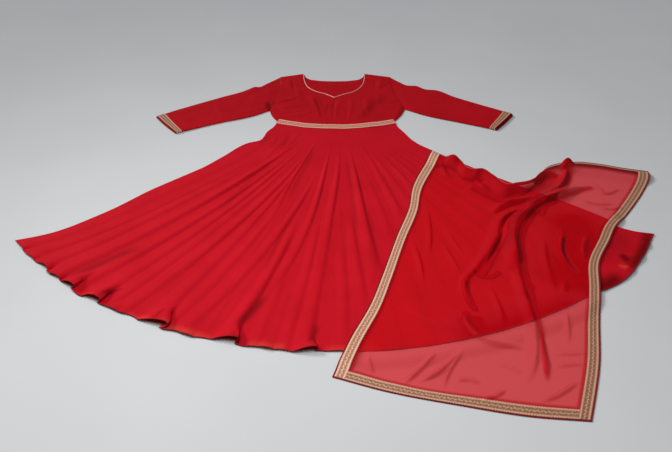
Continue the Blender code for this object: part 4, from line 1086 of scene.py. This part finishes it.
def skirt_plan(hem, share, inward=0.0, curled=True):
    """Plan places of the skirt, for degrees at the hem and shares of the way down."""
    hem, share = np.broadcast_arrays(np.asarray(hem, dtype=float), np.asarray(share, dtype=float))
    lean, draw = curl(hem, share)[1:] if curled else (0.0, 0.0)
    angle = np.radians(skirt_angle(hem, share) + lean)
    start = waist_radius(through(SKIRT_FAN, 1, hem))
    edge = HEM_RADIUS - inward + hem_wave(hem) * smooth((share - WAVE_SHARE) / (1 - WAVE_SHARE))
    radius = start + (edge - start) * share - draw
    return np.stack((radius * np.sin(angle), -radius * np.cos(angle) - SEAM / 2 * (1 - share)), axis=-1)


def covered(plan):
    """1 where the dupatta lies on the skirt, 0 clear of it."""
    left = np.array(DUPATTA_LEFT)
    right = np.array(DUPATTA_RIGHT)
    from_left = plan[..., 0] - np.interp(plan[..., 1], left[:, 1], left[:, 0])
    from_right = np.interp(plan[..., 1], right[:, 1], right[:, 0]) - plan[..., 0]
    below = plan[..., 1] < DUPATTA_LEFT[-1][1] + COVER_START
    inside = smooth((from_left + COVER_START) / COVER_EDGE) * smooth((from_right + COVER_START) / COVER_EDGE)
    return inside * below


def crest_ends(run, end, first, last):
    """1 along a fold's crest, eased to 0 at its start, and at its end unless that is the hem."""
    return smooth(run / first) * (1.0 if end == 1.0 else smooth((1 - run) / last))


def skirt_folds(hem, share):
    """Height of the folds of the skirt's front."""
    hem, share = np.broadcast_arrays(np.asarray(hem, dtype=float), np.asarray(share, dtype=float))
    heights = [curl(hem, share)[0]]
    fan = WAIST_CALM + (1 - WAIST_CALM) * smooth((share - CALM_TO) / CALM_FADE)
    for row, (start, end, first, middle, last, left, right, half, low) in enumerate(SKIRT_FOLDS):
        run = np.clip((share - start) / (end - start), 0.0, 1.0)
        crest = through(((0.0, first), (0.5, middle), (1.0, last)), 1, run)
        swell = 1 + FOLD_SWELL * np.sin(SWELL_PACE * share + SWELL_STEP * row)
        rise = (half + (low - half) * smooth((run - 0.5) / 0.5)) * swell * fan
        rise = FOLD_CALM * rise * crest_ends(run, end, *FOLD_ENDS)
        heights.append(rise * bump((hem - crest) / np.where(hem < crest, left, right)))
    height = blended(heights)
    for start, end, first, last, width, rise in FINE_FOLDS:
        run = np.clip((share - start) / (end - start), 0.0, 1.0)
        rise = FINE_CALM * rise * crest_ends(run, end, *FINE_ENDS) * fan
        height = height + rise * bump((hem - first - (last - first) * run) / width)
    cover = covered(skirt_plan(hem, share, curled=False))
    return height + cover * (np.minimum(height, COVERED_FOLD * np.tanh(height / COVERED_FOLD)) - height)


def make_skirt(looks):
    """Front and back of the skirt, and their rolled hems."""
    spread = np.linspace(0.0, 1.0, SKIRT_COLUMNS)
    columns = -LEFT_HEM + (LEFT_HEM + RIGHT_HEM) * (spread + COLUMN_CROWD * np.sin(4 * math.pi * spread))
    share = np.linspace(0.0, 1.0, SKIRT_ROWS)[:, None] ** ROW_CROWD
    plan = skirt_plan(columns[None, :], share)
    down = smooth((share - 1 + HEM_DROP) / HEM_DROP) * hem_covered(columns)[None, :]
    height = GAP + (FRONT_LIFT - GAP) * (1 - down) + skirt_folds(columns[None, :], share)
    grid = lifted(plan, height)
    # Tones: paler where one layer shows the floor through it, darker with painted shade in the deep creases
    tones = PLAIN * (1 + strokes(plan, SKIRT_THIN, fade=0.2) - strokes(plan, SKIRT_PAINTED_SHADE, fade=0.3))
    front = shell("skirt_front_cloth", grid, CLOTH, looks["skirt"], tones)
    stands_for("skirt_front")
    edge = grid[-1] + face_up(grid)[-1] * CLOTH / 2
    for name, low, high, look, radius in (("left", -LEFT_HEM, COVERED_HEM[0], "hem", SKIRT_ROLL),
                                          ("covered", *COVERED_HEM, "skirt", COVERED_ROLL),
                                          ("right", COVERED_HEM[1], RIGHT_HEM, "hem", SKIRT_ROLL)):
        part = (columns >= low - HEM_OVERLAP) & (columns <= high)
        rod("skirt_front_hem_" + name, edge[part], radius, looks[look])
    columns = np.linspace(-LEFT_HEM, RIGHT_HEM, BACK_COLUMNS)
    upper = np.linspace(0.0, BACK_HEM_FROM, BACK_ROWS)[:-1]
    share = np.concatenate((upper, np.linspace(BACK_HEM_FROM, 1.0, BACK_HEM_ROWS)))[:, None]
    inward = BACK_HEM_INSET[0] + (BACK_HEM_INSET[1] - BACK_HEM_INSET[0]) * hem_covered(columns)
    plan = skirt_plan(columns[None, :], share, inward[None, :])
    grid = lifted(plan, BACK_CURL * curl(columns[None, :], share)[0])
    back = shell("skirt_back_cloth", grid, BACK_CLOTH - SLACK, looks["inside"])
    stands_for("skirt_back")
    under = rod("skirt_back_hem", (grid[-1] + ROLL_LIFT)[columns < COVERED_HEM[0]], ROLL, looks["hem"])


# Plan of the bodice
def bodice_stretches(left_neck, right_neck):
    """Inner and outer edge of each stretch of the bodice, from the left shoulder round to the right one."""
    armpit = NECK_SHARE_AT_ARMPIT
    waist = NECK_SHARE_AT_WAIST
    arm, side, front = BODICE_POINTS

    def waist_edge(start, end):
        def places(share):
            x = start + (end - start) * np.asarray(share)
            return np.stack((x, waist_line(x) + SEAM / 2), axis=-1)
        return places

    def edge(points, start=0.0, end=1.0):
        return lambda share: along(points, start + (end - start) * np.asarray(share))

    return (
        (edge(left_neck, 0, armpit), edge(LEFT_ARMHOLE), np.linspace(0, 1, arm + 1)),
        (edge(left_neck, armpit, waist), edge(LEFT_SIDE), np.linspace(0, 1, side + 1)[1:]),
        (edge(left_neck, waist, 1), waist_edge(-WAIST_HALF, 0.0), np.linspace(0, 1, front + 1)[1:]),
        (edge(right_neck, 1, waist), waist_edge(0.0, WAIST_HALF), np.linspace(0, 1, front + 1)[1:]),
        (edge(right_neck, waist, armpit), edge(RIGHT_SIDE, 1, 0), np.linspace(0, 1, side + 1)[1:]),
        (edge(right_neck, armpit, 0), edge(RIGHT_ARMHOLE, 1, 0), np.linspace(0, 1, arm + 1)[1:]),
    )


def bodice_grid(left_neck, right_neck, levels):
    """Plan places of a bodice panel from its neckline out."""
    stretches = bodice_stretches(left_neck, right_neck)
    inner = np.concatenate([neck(shares) for neck, rim, shares in stretches])
    outer = np.concatenate([rim(shares) for neck, rim, shares in stretches])
    level = levels[:, None, None]
    return (1 - level) * inner + level * outer


def beside(route, away):
    """A line kept at an even distance to the left of a route in plan."""
    steps = unit(np.diff(route, axis=0))
    before = np.concatenate((steps[:1], steps))
    middle = unit(before + np.concatenate((steps, steps[-1:])))
    facing = np.stack((-middle[:, 1], middle[:, 0]), axis=-1)
    turn = (before * middle).sum(axis=1)
    return route + facing * (away / turn)[:, None]


def bodice_relief(plan, levels):
    """Height of the bodice's swells less its creases, none at its edges."""
    height = blended([ridge(plan, route, wide, wide, rise, DART_FADE) for route, wide, rise in BODICE_SWELLS])
    for route, width, depth in BODICE_CREASES:
        height = height - ridge(plan, route, width, width, depth, DART_FADE)
    level = levels[:, None]
    height = np.maximum(height + CREASE_FLOOR, 0.0)
    return height * smooth(level / BODICE_EDGE) * smooth((1 - level) / BODICE_EDGE)


def make_bodice(looks):
    """Front and back of the bodice, and the gold piping along the front neckline."""
    levels = np.linspace(0.0, 1.0, BODICE_LEVELS)
    plan = bodice_grid(LEFT_NECK, RIGHT_NECK, levels)
    neck = plan[0]
    grid = lifted(plan, FRONT_LIFT + bodice_relief(plan, levels))
    # Tones darkened with painted shade in the deep creases
    tones = PLAIN * (1 - strokes(plan, BODICE_PAINTED_SHADE, fade=0.3))
    front = shell("bodice_front_cloth", grid, CLOTH, looks["bodice"], tones)
    stands_for("bodice_front")
    plan = bodice_grid(LEFT_BACK_NECK, RIGHT_BACK_NECK, np.linspace(0.0, 1.0, BACK_LEVELS))
    back = shell("bodice_back_cloth", lifted(plan, 0.0), BACK_CLOTH - SLACK, looks["inside"])
    stands_for("bodice_back")
    share = np.linspace(0.0, 1.0, len(neck))
    at = np.linspace(0, 1, CORD_POINTS)
    route = beside(np.stack([np.interp(at, share, neck[:, side]) for side in (0, 1)], axis=-1), -CORD_OUT)
    tones = CORD_TONE + (1 - CORD_TONE) * np.sin(np.arange(len(route)) * CORD_PACE)
    cord = rod("neck_cord", lifted(route, FRONT_LIFT + PIPING_RADIUS + GAP), PIPING_RADIUS, looks["cord"],
               twist=CORD_TWIST, tones=tones)
    stands_for("neck_piping")


# Lace
def lace_pattern(run, across):
    """Relief and tone of the lace, for metres along it and -1 to 1 across it."""
    away = np.abs(across)
    edge = np.exp(-((away - BRAID_AT) / BRAID_HALF) ** 4)
    strand = 0.5 + 0.5 * np.cos(2 * math.pi * (run / BRAID_PITCH + BRAID_SLANT * away))
    middle = np.exp(-((across - WAVE_SWAY * np.sin(2 * math.pi * run / WAVE_PITCH)) / WAVE_HALF) ** 4)
    petal = 0.5 + 0.5 * np.cos(2 * math.pi * run / PETAL_PITCH)
    groove = np.exp(-((away - DASH_AT) / DASH_HALF) ** 2)
    dash = smooth((np.cos(2 * math.pi * (run / DASH_PITCH + 0.25 * np.sign(across))) + 0.2) / 0.8)
    relief = edge * (0.70 + 0.30 * strand) + middle * (0.45 + 0.35 * petal) + groove * 0.12 * dash
    tone = edge * (0.74 + 0.24 * strand) + middle * (0.46 + 0.40 * petal) + groove * (0.34 * dash - 0.06)
    return np.clip(relief, 0.0, 1.1), np.clip(tone, 0.0, 1.0)


def lace_across():
    """Places across a lace, from -1 to 1, closer together at its edge braids."""
    t = np.linspace(-1.0, 1.0, LACE_COLUMNS)
    return t * (1 - LACE_CROWD + LACE_CROWD * np.abs(t))


def lace_band(name, base, run, look):
    """A band of lace on a grid of points along it and across it, whose outer edges are scalloped."""
    run, across = np.broadcast_arrays(run[:, None], lace_across()[None, :])
    height, tone = lace_pattern(run, across)
    scallop = SCALLOP * np.abs(np.sin(math.pi * run / BRAID_PITCH))
    edge = np.where(np.abs(across) > 0.99, np.sign(across), 0.0)
    moved = base + unit(base[:, -1:] - base[:, :1]) * (edge * scallop)[..., None]
    upper = moved + face_up(base) * (LACE * (0.5 + height))[..., None]
    return wall(name, moved, upper, look, tone)


def make_waist_lace(looks):
    """The band of lace over the waist seam."""
    x = np.linspace(-WAIST_HALF - WAIST_LACE_END, WAIST_HALF + WAIST_LACE_END, WAIST_LACE_POINTS)
    slope = 2 * WAIST_RISE * x / WAIST_HALF ** 2
    run = distances(np.stack((x, waist_line(x)), axis=-1))
    wobble = sum(depth * np.sin(run * pace + phase) for depth, pace, phase in WAIST_WOBBLES)
    seam = np.stack((x, waist_line(x) + wobble), axis=-1)
    upward = unit(np.stack((-slope, np.ones(len(x))), axis=-1))
    plan = seam[:, None] + upward[:, None] * (lace_across() * WAIST_LACE / 2)[:, None]
    base = lifted(plan, FRONT_LIFT + CLOTH + GAP + SEAM)
    band = lace_band("waist_lace_band", base, run, looks["waist"])
    stands_for("waist_lace")


# Sleeves and cuffs
def section(points):
    """Shares of width and height round a sleeve laid flat, from one edge over the top and back beneath."""
    angle = np.linspace(0.0, 2 * math.pi, points, endpoint=False)
    across = 0.5 - 0.5 * np.sign(np.cos(angle)) * np.abs(np.cos(angle)) ** SECTION_WIDE
    tall = np.abs(np.sin(angle)) ** SECTION_TALL
    return across, SECTION_EDGE + np.where(np.sin(angle) >= 0, 1 - SECTION_EDGE, -SECTION_EDGE) * tall


def inset(ring, depth):
    """A closed section moved inwards by a depth, or outwards where it is negative."""
    before = unit(ring - np.roll(ring, 1, axis=0))
    after = unit(np.roll(ring, -1, axis=0) - ring)
    middle = unit(before + after)
    return ring + np.stack((middle[:, 1], -middle[:, 0]), axis=-1) * depth


def sleeve_rings(sleeve, rows, depth, points=SLEEVE_ACROSS):
    """Rings of a sleeve at shares of its length, moved inwards by a depth."""
    side, (top, under, armhole, cuff), cuff_height, cuff_lip, wrinkles = sleeve
    shares, heights = section(points)
    nodes = np.linspace(0.0, 1.0, SLEEVE_NODES)
    upper = np.clip(heights - SECTION_EDGE, 0.0, 1.0) / (1 - SECTION_EDGE)
    beneath = np.clip(1 - heights / SECTION_EDGE, 0.0, 1.0) ** 0.5
    rings = []
    for row in rows:
        plan = coons(armhole, cuff, top, under, nodes, np.full(nodes.shape, row))
        plan[:, 0] += side * SEAM * (1 - row)
        reach = plan[-1] - plan[0]
        width = np.linalg.norm(reach)
        tall = SLEEVE_HEIGHT + (cuff_height - SLEEVE_HEIGHT) * row
        tall = ARMHOLE_HEIGHT + (tall - ARMHOLE_HEIGHT) * smooth(row / ARMHOLE_RISE)
        floor = (LACE + GAP) * smooth((row - CUFF_LIFT_FROM) / CUFF_LIFT_OVER)
        place = np.stack([np.interp(shares, nodes, plan[:, axis]) for axis in (0, 1)], axis=-1)
        relief = blended([ridge(place, route, wide, wide, rise, fade=0.3) for route, wide, rise in wrinkles])
        relief *= upper ** 2 * smooth(row / RELIEF_RISE) * smooth((RELIEF_END - row) / CUFF_RELIEF_FADE)
        ring = inset(np.stack((shares * width, heights * tall + floor), axis=-1), depth)
        at = ring[:, 0] / width
        outside = np.clip(at, None, 0.0) + np.clip(at - 1, 0.0, None)
        lip = cuff_lip * smooth((row - LIP_FROM) / (1 - LIP_FROM)) * beneath
        out = np.array((-reach[1], reach[0])) * side / width
        out *= np.sign(out[0] * side)
        x, y = [np.interp(at, nodes, plan[:, axis]) + reach[axis] * outside + out[axis] * lip
                for axis in (0, 1)]
        rings.append(np.stack((x, y, ring[:, 1] + relief), axis=-1))
    return np.array(rings)


def make_sleeve(name, sleeve, cut, looks):
    """A sleeve laid flat, the ring of lace at its cuff, and its rolled cuff edge."""
    top = sleeve[1][0]
    length = np.linalg.norm(np.subtract(top[0], top[-1]))
    last = 1 - CLOTH_EDGE / length
    first = last - CUFF_LACE / length
    rows = np.linspace(0.0, 1.0, SLEEVE_ALONG)
    outer = sleeve_rings(sleeve, rows, 0.0)
    inner = sleeve_rings(sleeve, rows, CLOTH)
    # Tones darkened with painted shade in the armpit's crease
    tones = PLAIN * (1 - strokes(outer[..., :2], SLEEVE_PAINTED_SHADE, fade=0.3))
    cloth = tube("sleeve_" + name + "_cloth", outer, inner, looks["bodice"], tones)
    stands_for("sleeve_" + name)
    roll = rod("sleeve_" + name + "_hem", np.concatenate((outer[-1], outer[-1][:1])), ROLL, looks["cuff"])
    across = lace_across()
    rows = last + (first - last) * (0.5 + 0.5 * across)
    rings = sleeve_rings(sleeve, rows, -GAP - SLACK, CUFF_POINTS)
    run = np.array([distances(np.concatenate((ring, ring[:1]))) for ring in rings])
    total = run[:, -1:]
    run = run[:, :-1] / total * BRAID_PITCH * round(float(total.mean()) / BRAID_PITCH)
    height, tone = lace_pattern(run, across[:, None])
    skin = sleeve_rings(sleeve, rows, -GAP - SLACK - LACE, CUFF_POINTS)
    skin = rings + (skin - rings) * (0.5 + height)[..., None]
    skin[..., 2] = np.maximum(skin[..., 2], 0.0)
    rings[..., 2] = np.maximum(rings[..., 2], SLACK)
    band = tube("cuff_lace_" + name + "_band", skin, rings, looks["lace"], tone)
    stands_for("cuff_lace_" + name)
    width, length, area, round_cuff = cut


# Dupatta
def beside_skirt(plan):
    """Distance of a plan place outside the skirt's outline, 0 inside it."""
    radius = np.linalg.norm(plan, axis=-1)
    angle = np.degrees(np.arctan2(plan[..., 0], -plan[..., 1]))
    start = waist_radius(WAIST_CORNER)
    side = through(SKIRT_SIDES, 2, (radius - start) / (HEM_RADIUS - start))
    past_side = np.clip(np.radians(angle - side) * radius, 0.0, None)
    past_hem = np.clip(radius - HEM_RADIUS, 0.0, None)
    return np.hypot(past_side, past_hem)


def dupatta_size():
    """Widths along the bottom and the top, and the length of the side."""
    edges = (DUPATTA_BOTTOM, DUPATTA_TOP, DUPATTA_LEFT)
    return [np.linalg.norm(np.subtract(edge[0], edge[-1])) for edge in edges]


def rolled(u):
    """1 where the top edge is rolled under, 0 to the right of that."""
    return 1 - smooth((u - ROLL_ENDS[0]) / (ROLL_ENDS[1] - ROLL_ENDS[0]))


def dupatta_places(u, v):
    """Points of the dupatta's underside."""
    side = dupatta_size()[2]
    depth = (1 - v) * side
    back = smooth(depth / ROLL_CLOTH)
    peak = bump((u - PEAK_AT) / PEAK_WIDTH)
    drawn = EDGE_DRAW + (ROLL_DRAW - EDGE_DRAW) * rolled(u) + PEAK_DRAW * peak
    drawn = drawn * back * (1 - smooth((depth - ROLL_CLOTH) / DRAW_FADE))
    plan = coons(DUPATTA_BOTTOM, DUPATTA_TOP, DUPATTA_LEFT, DUPATTA_RIGHT, u, v + drawn / side)
    bed = BED * (1 - smooth((beside_skirt(plan) - BED_SHOULDER) / BED_SLOPE))
    rise = EDGE_RISE + (ROLL_HEIGHT - EDGE_RISE) * rolled(u) + PEAK_RISE * peak
    rise = rise + sum(high * bump((u - at) / wide) for at, wide, high in ROLL_BUMPS)
    folds = [rise * back * (1 - smooth((depth - ROLL_CLOTH) / ROLL_FRONT))]
    folds += [ridge(plan, route, left, right, high, fade) for left, right, high, fade, route in DUPATTA_FOLDS]
    return lifted(plan, bed + blended(folds))


def dupatta_cover_and_shade(grid, u, v):
    """How much light each point of the dupatta holds back, from 0 to 1: its layers, plus painted shade."""
    bottom, top, side = dupatta_size()
    plan = grid[..., :2]
    up = face_up(grid)
    width = bottom + (top - bottom) * v
    depth = (1 - v) * side
    inward = np.minimum(np.minimum(u, 1 - u) * width, np.minimum(v, 1 - v) * side)
    steep = STEEP_LAYERS * np.clip(1 - up[..., 2], 0.0, STEEPEST)
    layers_and_shade = steep + EDGE_LAYERS * smooth((LAYERED_EDGE - inward) / LAYERED_FADE)
    layers_and_shade = np.maximum(layers_and_shade, ROLL_LAYERS * rolled(u) * smooth((ROLLED_TO - depth) / ROLLED_FADE))
    folded = LAYERS_GAIN * strokes(plan, DUPATTA_LAYERS, fade=0.10)
    layers_and_shade = np.maximum(layers_and_shade, np.minimum(folded, ROLL_LAYERS))
    on_skirt = 1 - smooth(beside_skirt(plan) / SKIRT_EDGE_FADE)
    # Painted shade on parts over the skirt that lie in less light
    layers_and_shade = np.maximum(layers_and_shade, on_skirt * strokes(plan, DUPATTA_SHADES, fade=0.2))
    # Painted shade where the cloth faces away from the window, less of it just behind the roll
    painted_shade_facing = np.clip(up[..., 0] * UNLIT_SIDE[0] + up[..., 1] * UNLIT_SIDE[1], 0.0, 0.5)
    behind = rolled(u) * smooth((BEHIND_TO - depth) / BEHIND_FADE)
    layers_and_shade = layers_and_shade + painted_shade_facing * (UNLIT + UNLIT_ON_SKIRT * on_skirt) * (1 - BEHIND_LIT * behind)
    return np.clip(layers_and_shade, 0.0, 1.0)


def make_dupatta(looks):
    """The dupatta, its narrow turned edge, and the four strips of lace on its edges."""
    bottom, top, side = dupatta_size()
    v = np.linspace(0.0, 1.0, DUPATTA_ROWS)[:, None]
    u = np.linspace(0.0, 1.0, DUPATTA_COLUMNS)[None, :]
    grid = dupatta_places(u, v)
    cloth = thing("dupatta_cloth", grid, quads(*grid.shape[:2]), looks["sheer"], dupatta_cover_and_shade(grid, u, v))
    stands_for("dupatta")
    around = np.concatenate((grid[0, :-1], grid[:-1, -1], grid[-1, :0:-1], grid[:0:-1, 0], grid[:1, 0]))
    roll = rod("dupatta_hem", around + ROLL_LIFT, ROLL, looks["hem"])
    inward = CLOTH_EDGE + DUPATTA_LACE * (0.5 + 0.5 * lace_across()[None, :])
    for name, far, points, look, flat in DUPATTA_LACES:
        if name in ("left", "right"):
            v = np.linspace(CLOTH_EDGE / side, 1 - CLOTH_EDGE / side, points)[:, None]
            share = inward / (bottom + (top - bottom) * v)
            base = dupatta_places(1 - share if far else share, v)
        else:
            reach = (CLOTH_EDGE + DUPATTA_LACE + SEAM) / (top if far else bottom)
            u = np.linspace(reach, 1 - reach, points)[:, None]
            base = dupatta_places(u, 1 - inward / side if far else inward / side)
        base = base + face_up(base) * (GAP + SLACK)
        run = distances(base[:, LACE_COLUMNS // 2])
        band = lace_band("dupatta_lace_" + name + "_band", base, run, looks[look])
        stands_for("dupatta_lace_" + name)


# Floor, light and camera
def make_floor():
    """The pale floor, just beneath the suit."""
    made, tree, shader, place = nodes_of("pale_floor")
    mottle = noise(tree, place, scale=3.0, detail=3.0, roughness=0.5)
    dark, light = [srgb(*colour) for colour in FLOOR_COLOURS]
    colour = ramp(tree, mottle, ((0.2, dark), (0.8, light)))
    tree.links.new(colour, shader.inputs["Base Color"])
    shader.inputs["Roughness"].default_value = 0.85
    shader.inputs["Specular IOR Level"].default_value = 0.2
    mesh = bpy.data.meshes.new("floor")
    corners = [(x * FLOOR_REACH, y * FLOOR_REACH, 0.0) for x, y in ((-1, -1), (1, -1), (1, 1), (-1, 1))]
    mesh.from_pydata(corners, [], [(0, 1, 2, 3)])
    mesh.materials.append(made)
    floor = bpy.data.objects.new("floor", mesh)
    floor.location.z = -GAP
    bpy.context.scene.collection.objects.link(floor)


def make_lights():
    """Soft light from all round, a low window light from the back left, and a lamp over the skirt's left."""
    world = bpy.data.worlds.new("soft_room")
    world.use_nodes = True
    world.node_tree.nodes["Background"].inputs["Color"].default_value = ROOM_LIGHT
    world.node_tree.nodes["Background"].inputs["Strength"].default_value = ROOM_STRENGTH
    bpy.context.scene.world = world
    sun = bpy.data.lights.new("window_light", "SUN")
    sun.energy = SUN_ENERGY
    sun.angle = math.radians(SUN_ANGLE)
    box = bpy.data.lights.new("soft_box", "AREA")
    box.shape = "DISK"
    box.size = BOX_SIZE
    box.energy = BOX_ENERGY
    for light, (start, target) in ((sun, SUN_AIM), (box, BOX_AIM)):
        aim = np.array(target) - np.array(start)
        lamp = bpy.data.objects.new(light.name, light)
        lamp.location = np.array(start) + SHIFT
        lamp.rotation_euler = (math.atan2(math.hypot(aim[0], aim[1]), -aim[2]), 0.0,
                               math.atan2(aim[1], aim[0]) - math.pi / 2)
        bpy.context.scene.collection.objects.link(lamp)


def make_camera():
    """The camera that took the photo, and its plain view of the colours."""
    lens = bpy.data.cameras.new("view")
    lens.sensor_fit = "HORIZONTAL"
    lens.sensor_width = SENSOR
    lens.lens = LENS
    lens.clip_start = NEAREST
    camera = bpy.data.objects.new("view", lens)
    camera.location = np.array(CAMERA_PLACE) + SHIFT
    camera.rotation_euler = (math.radians(CAMERA_TILT), 0.0, 0.0)
    bpy.context.scene.collection.objects.link(camera)
    bpy.context.scene.camera = camera
    bpy.context.scene.view_settings.view_transform = "Standard"


def main():
    looks = make_looks()
    make_skirt(looks)
    make_bodice(looks)
    make_waist_lace(looks)
    make_sleeve("left", LEFT_SLEEVE, LEFT_SLEEVE_CUT, looks)
    make_sleeve("right", RIGHT_SLEEVE, RIGHT_SLEEVE_CUT, looks)
    make_dupatta(looks)
    make_floor()
    make_lights()
    make_camera()


main()
